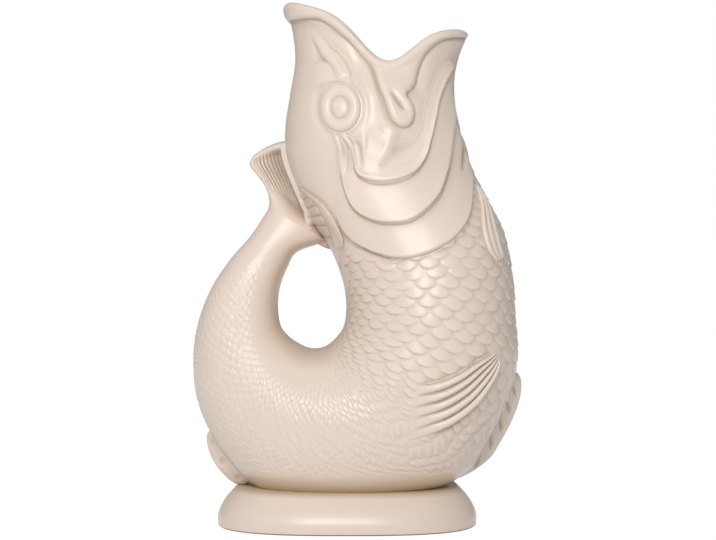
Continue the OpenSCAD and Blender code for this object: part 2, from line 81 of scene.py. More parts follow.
# Place of the jug's axis and of the floor in the 716 by 540 view, and the size of its pixels
VIEW_AXIS, VIEW_FLOOR, VIEW_PIXEL = 347.3, 521, 4.836e-4

# Sockets of a Mix node that works on colours: its factor, both colours and the result
COLOUR_MIX_INPUTS, COLOUR_MIX_OUTPUT = (0, 6, 7), 2

WHITE = (1, 1, 1, 1)
FULL_TURN = 2 * np.pi
SMOOTH_ANGLE = math.radians(60)

# Points in a row of the head and of the lip, which meet point to point
HEAD_COLUMNS = 480

# Least divisor, and a distance beyond any on the jug
TINY, FAR = 1e-12, 1.0


class Side(Enum):
    """Flank of the fish, with the sign of its Y."""

    LEFT = 1
    RIGHT = -1


class Maker(Protocol):
    """Anything that makes pieces of the jug."""

    def build(self) -> Pieces:
        """Makes the pieces, by the node that each replaces."""


def ease(t: Array) -> Array:
    """Smooth step from 0 to 1."""
    c = np.clip(t, 0.0, 1.0)
    return c * c * (3 - 2 * c)


def oval(v: Array, power: float) -> Array:
    """Rounded cosine or sine of an oval section."""
    return np.sign(v) * np.abs(v) ** power


def between(s: Array, places: tuple[float, ...], values: tuple[float, ...]) -> Array:
    """Values at places along the spine, joined in straight lines."""
    return np.interp(s, places, values)


def smooth_rows(table: Array, s: Array) -> Array:
    """Smooth rows of a table.

    Args:
        table: Rows of numbers, first axis along the rows.
        s: Places between the rows, from 0.

    Returns:
        One row for each place, carried on in a straight line past both ends.
    """
    last = len(table) - 1
    rows = np.concatenate([[table[0] * 2 - table[1]], table, [table[-1] * 2 - table[-2]]])
    i = np.clip(np.floor(s).astype(int), 0, last - 1)
    t = (s - i).reshape(np.shape(s) + (1,) * (table.ndim - 1))
    a, b, c, d = rows[i], rows[i + 1], rows[i + 2], rows[i + 3]
    bend = (a * 2 - b * 5 + c * 4 - d) * t ** 2 / 2 + (b * 3 - a - c * 3 + d) * t ** 3 / 2
    return b + (c - a) * t / 2 + bend


def whole(table: tuple, count: int) -> Array:
    """Smooth rows of a table, evenly from its first row to its last."""
    return smooth_rows(np.array(table, float), np.linspace(0, len(table) - 1, count))


def edge_round(distance: Array, radius: float) -> Array:
    """Quarter round that rises from 0 at an edge to 1 at a radius inside it."""
    c = 1 - np.clip(distance / radius, 0.0, 1.0)
    return np.sqrt(np.clip(1 - c * c, 0.0, 1.0))


def rounded(distance: Array, radius: float, power: float = 2.4) -> Array:
    """Rounded edge that leaves its border at a slope and flattens at a radius inside it."""
    return 1 - (1 - np.clip(distance / radius, 0.0, 1.0)) ** power


def swelling(t: Array, power: float) -> Array:
    """Swelling from 0 at both ends to 1 between them, the blunter the higher its power."""
    return np.sqrt(np.clip(1 - np.abs(2 * t - 1) ** power, 0, 1))


def ribbed(t: Array, count: int, power: float) -> Array:
    """Round ribs from 0 to 1 with sharp grooves between them."""
    return np.abs(np.sin(np.pi * count * t)) ** power


def ends_dense(count: int, share: float = 0.7) -> Array:
    """Places from 0 to 1 that crowd towards both ends."""
    t = np.linspace(0, 1, count)
    return t * (1 - share) + (0.5 - 0.5 * np.cos(np.pi * t)) * share


def chance(a: Array, b: Array) -> Array:
    """Number from 0 to 1 that looks random, the same for the same two numbers."""
    seed = np.sin(a * 12.9898 + b * 78.233) * 43758.5453
    return seed - np.floor(seed)


def turns(columns: int) -> Array:
    """Even angles once round, from the front."""
    return np.linspace(0, FULL_TURN, columns, endpoint=False)


def folded(angle: Array) -> Array:
    """Angle from the front on either flank, from 0 to half a turn."""
    return np.abs((angle + np.pi) % FULL_TURN - np.pi)


def way_along(line: Array) -> Array:
    """Length of a line of points up to each of them."""
    return np.concatenate([[0], np.linalg.norm(np.diff(line, axis=0), axis=-1).cumsum()])


def spacing(points: Array) -> tuple[float, float]:
    """Mean distance between the rows and between the columns of a grid."""
    return tuple(float(np.linalg.norm(np.diff(points, axis=axis), axis=-1).mean()) for axis in (0, 1))


def to_view(points: Array) -> Array:
    """Places in the view plane, in metres, of points of the 716 by 540 view."""
    x, z = points[..., 0] - VIEW_AXIS, VIEW_FLOOR - points[..., 1]
    return np.stack([x * VIEW_PIXEL, z * VIEW_PIXEL], -1)


def to_segment(view: Array, start: Array, end: Array) -> tuple[Array, Array]:
    """Finds the nearest place of a segment.

    Args:
        view: Places in the view plane.
        start: First end of the segment.
        end: Its other end.

    Returns:
        Share of the way along the segment, and the distance to it.
    """
    run = end - start
    t = np.clip(((view - start) @ run) / max(run @ run, TINY), 0, 1)
    return t, np.linalg.norm(view - (start + t[..., None] * run), axis=-1)


def along_chord(place: Array, front: Array, back: Array) -> Array:
    """Place along a chord, from -1 at its back to 1 at its front."""
    chord = front - back
    return ((place - (front + back) / 2) * chord).sum(-1) * 2 / (chord ** 2).sum(-1)


def blur(field: Array, passes: tuple[float, float], wrap: bool) -> Array:
    """Softens a field with a small kernel.

    Args:
        field: Rows by columns.
        passes: How often along the columns and along the rows.
        wrap: True where the last column joins the first.

    Returns:
        The softened field.
    """
    soft = field
    for axis, count in enumerate(passes):
        for _ in range(max(1, round(count))):
            if axis == 1 and wrap:
                ahead, behind = np.roll(soft, 1, 1), np.roll(soft, -1, 1)
            else:
                border = [(1, 1) if k == axis else (0, 0) for k in range(2)]
                padded = np.pad(soft, border, mode="edge")
                ahead = padded[:-2] if axis == 0 else padded[:, :-2]
                behind = padded[2:] if axis == 0 else padded[:, 2:]
            soft = soft * 0.5 + (ahead + behind) * 0.25
    return soft


def crease_shading(height: Array, steps: tuple[float, float], wrap: bool) -> Array:
    """How deep each place of a relief lies in a crease or a dip, and how far it stands on a ridge.

    Args:
        height: Relief over the form, rows by columns.
        steps: Distance between rows and between columns.
        wrap: True where the last column joins the first.

    Returns:
        Hollow (pooled glaze and painted shade) and ridge (thinned glaze and painted highlight) on the last
        axis, from 0 to 1.
    """
    sunk = []
    for reach, depth in ((CREASE_REACH, CREASE_DEPTH), (DIP_REACH, DIP_DEPTH)):
        passes = tuple(2 * (reach / step) ** 2 for step in steps)
        sunk.append(np.clip((blur(height, passes, wrap) - height) / depth, -1, 1))
    crease, dip = sunk
    hollow = np.clip(np.maximum(crease, 0) * CREASE_SHARE + np.maximum(dip, 0) * DIP_SHARE, 0, 1)
    return np.stack([hollow, np.clip(-crease * RIDGE_SHARE - dip * (1 - RIDGE_SHARE), 0, 1)], -1)


@dataclass(frozen=True)
class Fish:
    """Sizes of the fish and the loft that gives any place on its skin.

    The halvings and sights are how often locate and seen draw nearer to a place.
    """

    length: float = 0.160
    height: float = 0.250
    width: float = 0.106
    wall: float = 0.0045
    foot_height: float = 0.018
    saddle_depth: float = 0.0202
    saddle_middle: float = 0.10
    saddle_half: float = 0.42
    tip_fall: float = 0.17
    power: float = 0.9
    camera_distance: float = 0.8
    camera_x: float = 0.0052
    camera_z: float = 0.1214
    last_flank: float = 15.0
    halvings: int = 24
    sights: int = 4
    station_step: float = 0.02
    turn_step: float = 0.004

    def station(self, s: Array) -> tuple[Array, Array, Array, Array]:
        """Reads the spine.

        Args:
            s: Places along the spine.

        Returns:
            Front, back, half width and saddle depth at each place.
        """
        k = smooth_rows(FISH, s)
        size = np.array([self.length, self.height])
        depth = np.maximum(k[..., 5], 0) * self.saddle_depth
        return k[..., 0:2] * size, k[..., 2:4] * size, k[..., 4] * self.width, depth

    def dip(self, u: Array) -> Array:
        """Dip between the jaws at place u, from -1 at the back to 1 at the spout."""
        return np.exp(-((u - self.saddle_middle) / self.saddle_half) ** 2)

    def saddle(self, u: Array) -> Array:
        """Drop of the lip at place u, as a share of the saddle's depth."""
        return self.dip(u) + self.tip_fall * (1 - u ** 4)

    def skin(self, s: Array, angle: Array, off: Array | float = 0.0) -> Array:
        """Point of the skin.

        Args:
            s: Station along the spine.
            angle: Angle from the front in radians, positive on the left.
            off: Distance outwards.

        Returns:
            Points, last axis x, y, z.
        """
        s, angle, off = np.broadcast_arrays(np.asarray(s, float), angle, off)
        front, back, half_w, depth = self.station(s)
        chord = front - back
        half = np.linalg.norm(chord, axis=-1) / 2
        u = oval(np.cos(angle), self.power)
        reach = u * (half + off) / (2 * half)
        place = (front + back) / 2 + chord * reach[..., None]
        z = place[..., 1] - depth * self.saddle(u)
        y = (half_w + off) * oval(np.sin(angle), self.power)
        return np.stack([place[..., 0], y, np.maximum(z, self.foot_height - np.minimum(off, 0))], -1)

    def normal(self, s: Array, angle: Array) -> Array:
        """Outward normal of the skin.

        Args:
            s: Station along the spine.
            angle: Angle from the front.

        Returns:
            Unit vectors, last axis x, y, z.
        """
        ds, da = self.station_step, self.turn_step
        along = self.skin(s + ds, angle) - self.skin(s - ds, angle)
        around = self.skin(s, angle + da) - self.skin(s, angle - da)
        n = np.cross(along, around)
        return n / np.maximum(np.linalg.norm(n, axis=-1, keepdims=True), TINY)

    def raised(self, s: Array, angle: Array, height: Array | float) -> Array:
        """Point at a height over the skin, along its normal."""
        return self.skin(s, angle) + self.normal(s, angle) * np.asarray(height)[..., None]

    def locate(self, x: Array, z: Array) -> tuple[Array, Array]:
        """Finds the place on the left flank behind a place in the side view.

        Args:
            x: Place along the jug.
            z: Height.

        Returns:
            Station and angle.
        """
        place = np.stack([x, z], -1)
        low, high = np.zeros_like(x), np.full_like(x, self.last_flank)
        for _ in range(self.halvings):
            mid = (low + high) / 2
            front, back, _, depth = self.station(mid)
            chord = front - back
            rest = place - back
            rest[..., 1] += depth * self.saddle(along_chord(place, front, back))
            over = chord[..., 0] * rest[..., 1] - chord[..., 1] * rest[..., 0] > 0
            low, high = np.where(over, low, mid), np.where(over, mid, high)
        front, back, _, _ = self.station(low)
        u = along_chord(place, front, back)
        return low, np.arccos(oval(np.clip(u, -1, 1), 1 / self.power))

    def seen(self, share: Array) -> tuple[Array, Array]:
        """Finds the places on the left flank that the camera sees.

        Args:
            share: Places in the view plane, as shares of the jug's length and height.

        Returns:
            Station and angle.
        """
        x0, z0 = share[..., 0] * self.length, share[..., 1] * self.height
        x, z = x0, z0
        for _ in range(self.sights):
            s, angle = self.locate(x, z)
            near = 1 - self.skin(s, angle)[..., 1] / self.camera_distance
            x = self.camera_x + (x0 - self.camera_x) * near
            z = self.camera_z + (z0 - self.camera_z) * near
        return self.locate(x, z)

    def in_view(self, points: Array) -> Array:
        """Projects points on either flank on to the view plane.

        Args:
            points: Points, last axis x, y, z.

        Returns:
            Places in metres, last axis x, z.
        """
        near = 1 - np.abs(points[..., 1]) / self.camera_distance
        x = self.camera_x + (points[..., 0] - self.camera_x) / near
        z = self.camera_z + (points[..., 2] - self.camera_z) / near
        return np.stack([x, z], -1)


@dataclass(frozen=True)
class Clay:
    """Works a flat grid of clay round a form and closes it, as a modeller works a slab."""

    weld: float = 2e-6

    def tube(self, name: str, rows: Array, shade: Array, ring: bool = False) -> bpy.types.Object:
        """Closed piece from loops of points.

        Args:
            name: Name of the piece.
            rows: Loops of points: rows, places round the loop, x y z.
            shade: Hollow and ridge of each point.
            ring: True where the last loop joins the first.

        Returns:
            The new object, closed, with its faces pointing outwards.
        """
        grid = np.concatenate([rows, shade], axis=-1)
        grid = np.concatenate([grid, grid[:, :1]], axis=1)
        if ring:
            grid = np.concatenate([grid, grid[:1]], axis=0)
        count_y, count_x, width = grid.shape
        bpy.ops.object.select_all(action="DESELECT")
        bpy.ops.mesh.primitive_grid_add(x_subdivisions=count_x - 1, y_subdivisions=count_y - 1, size=1)
        piece = bpy.context.object
        piece.name = piece.data.name = name
        flat = grid.reshape(-1, width).astype(np.float32)
        piece.data.vertices.foreach_set("co", flat[:, :3].ravel())
        # Hollow and ridge, which the glaze paints as pooled glaze with painted shade and as thinned glaze
        # with a painted highlight
        for column, label in ((3, "hollow"), (4, "ridge")):
            layer = piece.data.attributes.new(label, "FLOAT", "POINT")
            layer.data.foreach_set("value", np.ascontiguousarray(flat[:, column]))
        bpy.ops.object.mode_set(mode="EDIT")
        bpy.ops.mesh.select_all(action="SELECT")
        bpy.ops.mesh.remove_doubles(threshold=self.weld)
        bpy.ops.mesh.delete_loose()
        bpy.ops.mesh.select_all(action="SELECT")
        bpy.ops.mesh.normals_make_consistent(inside=False)
        bpy.ops.object.mode_set(mode="OBJECT")
        return piece

    def pillow(self, name: str, high: Array, low: Array, shade: Array) -> bpy.types.Object:
        """Closed piece between two sheets of points that meet at their borders."""
        both = np.concatenate([shade, 0 * shade], axis=1)
        return self.tube(name, np.concatenate([high, low[:, ::-1]], axis=1), both)

    def pair(self, name: str, high: Array, low: Array, shade: Array) -> Pieces:
        """Makes the same pillow on the left flank and mirrored on the right.

        Args:
            name: Name of the pair.
            high: Outer sheet of points on the left.
            low: Inner sheet.
            shade: Hollow and ridge of the outer sheet.

        Returns:
            Both objects, by the node that each replaces.
        """
        made = {}
        for side in Side:
            flip, label = np.array([1, side.value, 1]), f"{name}_{side.name.lower()}"
            made[label] = self.pillow(f"{label}_glazed", high * flip, low * flip, shade)
        return made


class Prints:
    """Marks that the sprigs leave on the skin, so that shade is painted, with pooled glaze, along their
    borders.
    """

    def __init__(self) -> None:
        """Starts with an unmarked skin."""
        self.marks: list[tuple[Array, Array, Array]] = []

    def press(self, s: Array, angle: Array, height: Array, flanks: bool = True) -> None:
        """Keeps the heights of a sprig.

        Args:
            s: Stations of its points.
            angle: Their angles from the front.
            height: Their heights over the skin.
            flanks: True where the sprig lies on both flanks.
        """
        self.marks.append((s.ravel(), angle.ravel(), height.ravel()))
        if flanks:
            self.marks.append((s.ravel(), -angle.ravel(), height.ravel()))

    def height(self, places: Array, columns: int) -> Array:
        """Heights of all sprigs on a grid.

        Args:
            places: Stations of the grid's rows.
            columns: Number of even turns in a row.

        Returns:
            Heights, rows by columns.
        """
        field = np.zeros((len(places), columns))
        for s, angle, height in self.marks:
            inside = (s >= places[0]) & (s <= places[-1])
            i = np.round(np.interp(s[inside], places, np.arange(len(places)))).astype(int)
            j = np.round(angle[inside] / FULL_TURN * columns).astype(int) % columns
            np.maximum.at(field, (i, j), height[inside])
        for axis in (0, 1):
            field = np.maximum(field, np.maximum(np.roll(field, 1, axis), np.roll(field, -1, axis)))
        return field


@dataclass(frozen=True)
class Scales:
    """Overlapping scales that shrink from the breast to the tail."""

    # Rows along the spine, and the form of one scale
    first: float = 5.2
    last: float = 24.2
    places: tuple[float, ...] = (6, 9, 12, 13.5, 15, 16, 18, 20, 25)
    widths: tuple[float, ...] = (0.0088, 0.0112, 0.0113, 0.0076, 0.0056, 0.0050, 0.0043, 0.0040, 0.0034)
    fewest: int = 8
    pitch_share: float = 0.44
    reach: float = 2.05
    reach_jitter: float = 0.18
    cut: float = 1.05
    rise_share: float = 0.085
    least: float = 0.00036
    rise_jitter: float = 0.3
    tip_share: float = 0.78
    tip_power: float = 0.8
    crown_share: float = 0.30
    inset: float = 0.00070
    inset_least: float = 0.15
    inset_start: float = 6.5
    inset_fade: float = 2.5
    edge: float = 0.0010
    edge_share: float = 0.30
    flank: float = 1.35
    probe: float = 0.05
    ring_points: int = 241
    # Where the scales fade out: towards the bend, the head, the tail and the foot
    bend_places: tuple[float, ...] = (6, 12, 14, 16, 19, 24)
    bend_angles: tuple[float, ...] = (162, 152, 130, 112, 100, 92)
    bend_fade: float = 24
    top_angles: tuple[float, ...] = (0, 60, 100, 130, 180)
    top_places: tuple[float, ...] = (5.5, 5.5, 6.6, 7.9, 8.1)
    top_fade: float = 0.4
    tail_start: float = 21.6
    tail_fade: float = 1.8
    foot_start: float = 0.0235
    foot_fade: float = 0.007
    # How the rows sway, and more so low on the belly
    loose_height: float = 0.075
    loose_fade: float = 0.03
    loose: float = 0.10
    slow_wave: tuple[float, float, float] = (7, 1.3, 0.03)
    quick_wave: tuple[float, float, float] = (17, 2.9, 0.012)
    drift_wave: tuple[float, float, float] = (3, 4.1, 0.05)
    quick_loose: float = 0.6

    def rows(self, fish: Fish) -> tuple[Array, Array, Array]:
        """Lays out the rows of scales.

        Args:
            fish: The skin that they lie on.

        Returns:
            Station, count and width of the scales in each row.
        """
        s, found = self.first, []
        while s < self.last:
            width = float(between(s, self.places, self.widths))
            ring = fish.skin(s, np.linspace(0, FULL_TURN, self.ring_points))
            around = np.linalg.norm(np.diff(ring, axis=0), axis=-1).sum()
            step = fish.skin(s + self.probe, self.flank) - fish.skin(s - self.probe, self.flank)
            found.append((s, max(self.fewest, round(around / width)), width))
            s += width * self.pitch_share / (np.linalg.norm(step) * (1 / (2 * self.probe)))
        return tuple(np.array(column) for column in zip(*found))

    def around(self, fish: Fish, s: Array, angle: Array) -> Array:
        """Share of the way round the ring, by length, from the front.

        Args:
            fish: The skin.
            s: Stations.
            angle: Angles from the front.

        Returns:
            Shares from 0 to 1, once round.
        """
        start, stop, finer, steps, within = 5, 25, 4, 120, 0.001
        stations = np.linspace(start, stop, (stop - start) * finer + 1)
        rings = fish.skin(stations[:, None], np.linspace(0, np.pi, steps + 1)[None, :])
        lengths = np.linalg.norm(np.diff(rings, axis=1), axis=-1)
        way = np.concatenate([np.zeros((len(stations), 1)), lengths.cumsum(1)], 1)
        way /= way[:, -1:] * 2
        i = np.clip((s - start) * finer, 0, len(stations) - 1 - within)
        j = np.clip(folded(angle) / np.pi * steps, 0, steps - within)
        i0, j0 = i.astype(int), j.astype(int)
        fi, fj = i - i0, j - j0
        share = ((way[i0, j0] * (1 - fi) + way[i0 + 1, j0] * fi) * (1 - fj)
                 + (way[i0, j0 + 1] * (1 - fi) + way[i0 + 1, j0 + 1] * fi) * fj)
        return np.where((angle % FULL_TURN) > np.pi, 1 - share, share)

    def strength(self, s: Array, angle: Array, z: Array) -> Array:
        """Share of the full relief: none at the tail's tip, in the bend and over the foot.

        Args:
            s: Stations.
            angle: Angles from the front.
            z: Heights over the floor.

        Returns:
            Shares from 0 to 1.
        """
        turn = np.degrees(folded(angle))
        bend = 1 - ease((turn - between(s, self.bend_places, self.bend_angles)) / self.bend_fade)
        top = between(turn, self.top_angles, self.top_places)
        ends = ease((s - top) / self.top_fade) * (1 - ease((s - self.tail_start) / self.tail_fade))
        return bend * ends * ease((z - self.foot_start) / self.foot_fade)

    def wave(self, s: Array, angle: Array, shape: tuple[float, float, float]) -> Array:
        """Wave over the skin, by its turns round the ring and along the spine."""
        return np.sin(angle * shape[0] + s * shape[1])

    def plate(self, width: Array, du: Array, d: Array, jitter: Array) -> Array:
        """Height of one scale.

        Args:
            width: Width of the scale.
            du: Place across it, from -1 to 1.
            d: Place along it, in rows from its root.
            jitter: Its own number from 0 to 1.

        Returns:
            Heights over the skin, 0 outside the scale.
        """
        tip = self.reach - self.reach_jitter * jitter
        outline = tip - self.cut * (1 - np.sqrt(np.clip(1 - du * du, 0, 1)))
        pitch = width * self.pitch_share
        slope = self.tip_share * np.clip(d / self.reach, 0, 1) ** self.tip_power
        form = 1 - self.tip_share + slope - self.crown_share * du * du
        rise = (width * self.rise_share + self.least) * (1 - self.rise_jitter / 2 + self.rise_jitter * jitter)
        edge = np.minimum(self.edge, pitch * self.edge_share)
        return rise * form * rounded((outline - d) * pitch, edge)

    def height(self, fish: Fish, s: Array, angle: Array, z: Array) -> Array:
        """Height of the scales over the skin.

        Args:
            fish: The skin.
            s: Stations.
            angle: Angles from the front.
            z: Heights over the floor.

        Returns:
            Heights, negative between the scales.
        """
        row_s, counts, widths = self.rows(fish)
        loose = ease((self.loose_height - z) / self.loose_fade) * self.loose
        quick = self.quick_wave[2] + loose * self.quick_loose
        waver = self.wave(s, angle, self.slow_wave) * self.slow_wave[2]
        waver = waver + self.wave(s, angle, self.quick_wave) * quick
        i = np.clip(np.searchsorted(row_s, s + waver) - 1, 0, len(row_s) - 2)
        step = (s + waver - row_s[i]) / (row_s[i + 1] - row_s[i])
        share = self.around(fish, s, angle)
        drift = self.wave(s, angle, self.drift_wave) * (self.drift_wave[2] + loose)
        total = np.zeros_like(s)
        for back in (2, 1, 0):
            k = np.maximum(i - back, 0)
            column = share * counts[k] + (k % 2) * 0.5 + drift
            middle = np.round(column)
            plate = self.plate(widths[k], (column - middle) * 2, step + back, chance(middle, k))
            total = np.maximum(total, plate)
        deeper = (1 - self.inset_least) * ease((s - self.inset_start) / self.inset_fade)
        inset = self.inset * (self.inset_least + deeper)
        return (total - inset) * self.strength(s, angle, z)


@dataclass(frozen=True)
class Stroke:
    """Soft ridge or groove drawn by a modelling tool along points of the 716 by 540 view."""

    points: Line
    width: float
    rise: float
    end_width: float = 0.0
    finer: int = 6
    tip: float = 0.02

    def height(self, view: Array) -> Array:
        """Height that the stroke adds.

        Args:
            view: Places in the view plane.

        Returns:
            Heights, negative in a groove.
        """
        path = to_view(whole(self.points, self.finer * len(self.points)))
        best = np.full(view.shape[:-1], FAR)
        where = np.zeros(view.shape[:-1])
        for i, (a, b) in enumerate(zip(path[:-1], path[1:])):
            t, gap = to_segment(view, a, b)
            where = np.where(gap < best, (i + t) / (len(path) - 1), where)
            best = np.minimum(best, gap)
        width = self.width + ((self.end_width or self.width) - self.width) * where
        taper = np.sqrt(np.clip(np.sin(np.pi * np.clip(where, self.tip, 1 - self.tip)), 0, 1))
        return self.rise * taper * np.exp(-(best / width) ** 2)


@dataclass(frozen=True)
class LipBand:
    """Raised band of the upper jaw, the saddle, the tongue at the corner and the lower jaw."""

    outline: Line = (
        (268, 21), (284, 21), (296, 20.5), (308, 19.5), (320, 20.5), (331, 27), (340, 34), (348.5, 41),
        (355, 48.5), (361, 56), (367.5, 63), (373, 71), (376, 80), (379, 89), (383, 99), (387, 112),
        (391.5, 121), (399, 127), (407, 127.8), (413, 122.5), (415.3, 113), (412.8, 103), (407.8, 94.8),
        (412.5, 90), (417, 84), (418.5, 77), (421, 68), (424, 60), (430, 50.5), (438, 43.5), (446, 40),
        (455, 38.3), (468, 37.6), (484, 37), (500, 20), (500, -20), (380, -30), (268, -20))
    rise: float = 0.0020
    radius: float = 0.0034
    groove: float = 0.0005
    groove_width: float = 0.0013
    finer: int = 4

    def height(self, view: Array) -> Array:
        """Height of the band.

        Args:
            view: Places in the view plane.

        Returns:
            Heights, with a shallow groove along the band's outside.
        """
        points = np.array(self.outline, float)
        points = np.concatenate([points[-1:], points, points[:2]])
        last = len(self.outline) - 1
        path = to_view(smooth_rows(points, np.linspace(0, last, self.finer * (last + 1) + 1) + 1))
        x, z = view[..., 0], view[..., 1]
        best = np.full(x.shape, FAR)
        inside = np.zeros(x.shape, bool)
        for a, b in zip(path, np.roll(path, -1, axis=0)):
            best = np.minimum(best, to_segment(view, a, b)[1])
            crosses = (a[1] > z) != (b[1] > z)
            inside ^= crosses & (x < (b[0] - a[0]) * (z - a[1]) / (b[1] - a[1] + TINY) + a[0])
        band = (self.rise + self.groove) * rounded(np.where(inside, best, 0), self.radius) - self.groove
        return np.where(inside, band, -self.groove * np.exp(-(best / self.groove_width) ** 2))


@dataclass(frozen=True)
class Face:
    """Relief of the head: the lip's band and the folds round the eye, the cheek and the throat."""

    band: LipBand = LipBand()
    strokes: tuple[Stroke, ...] = (
        Stroke(((314, 36), (321, 45), (330, 58), (338, 68), (346, 79)), 0.0022, 0.0011, 0.0032),
        Stroke(((311, 38), (315, 47), (320, 57), (331, 65), (336, 76)), 0.0012, -0.0007),
        Stroke(((326, 38), (335, 48), (345, 57), (351, 68), (354, 84)), 0.0013, -0.0007),
        Stroke(((318, 62), (323, 72), (326, 84)), 0.0052, 0.0009),
        Stroke(((333, 27), (346, 38), (359, 54), (368, 70), (372, 92), (371, 122)), 0.0030, 0.0006, 0.0036),
        Stroke(((324, 82), (317, 95), (317, 115), (324, 130), (334, 140)), 0.0016, -0.0005),
        Stroke(((360, 84), (366, 98), (367, 114), (362, 130)), 0.0016, -0.0004),
        Stroke(((342, 134), (349, 142), (353, 152), (354, 166)), 0.0010, 0.0010),
        Stroke(((335, 135), (340, 146), (341, 160), (342, 182)), 0.0010, 0.0009),
        Stroke(((338, 137), (345, 147), (347, 160), (347, 176)), 0.0011, -0.0008),
        Stroke(((348, 136), (357, 142), (361, 152), (361, 168)), 0.0011, -0.0007),
        Stroke(((363, 132), (364, 144), (363, 156)), 0.0012, 0.0006),
        Stroke(((377, 163), (386, 150), (390, 138), (394, 129)), 0.0026, 0.0010),
        Stroke(((392, 158), (402, 148), (412, 136)), 0.0050, -0.0005),
        Stroke(((390, 92), (397, 102), (405, 112)), 0.0015, -0.0011, 0.0020),
        Stroke(((429, 52), (421, 70), (418, 86), (424, 98)), 0.0034, -0.0009),
        Stroke(((446, 43), (440, 60), (436, 86), (428, 112)), 0.0042, -0.0005),
        Stroke(((461, 130), (461.5, 146), (461, 160), (459, 174)), 0.0008, -0.0012),
    )
    neck: float = 6.0
    fade_start: float = 5.6
    fade: float = 0.8

    def height(self, view: Array) -> Array:
        """Height of the relief at places in the view plane."""
        return sum((stroke.height(view) for stroke in self.strokes), self.band.height(view))

    def over(self, fish: Fish, s: Array, base: Array) -> Array:
        """Height of the relief on a grid that may lie on the head.

        Args:
            fish: The skin.
            s: Stations of the grid.
            base: Its points on the skin.

        Returns:
            Heights, 0 on a grid that starts below the neck.
        """
        if float(s.min()) >= self.neck:
            return np.zeros_like(s)
        return self.height(fish.in_view(base)) * (1 - ease((s - self.fade_start) / self.fade))


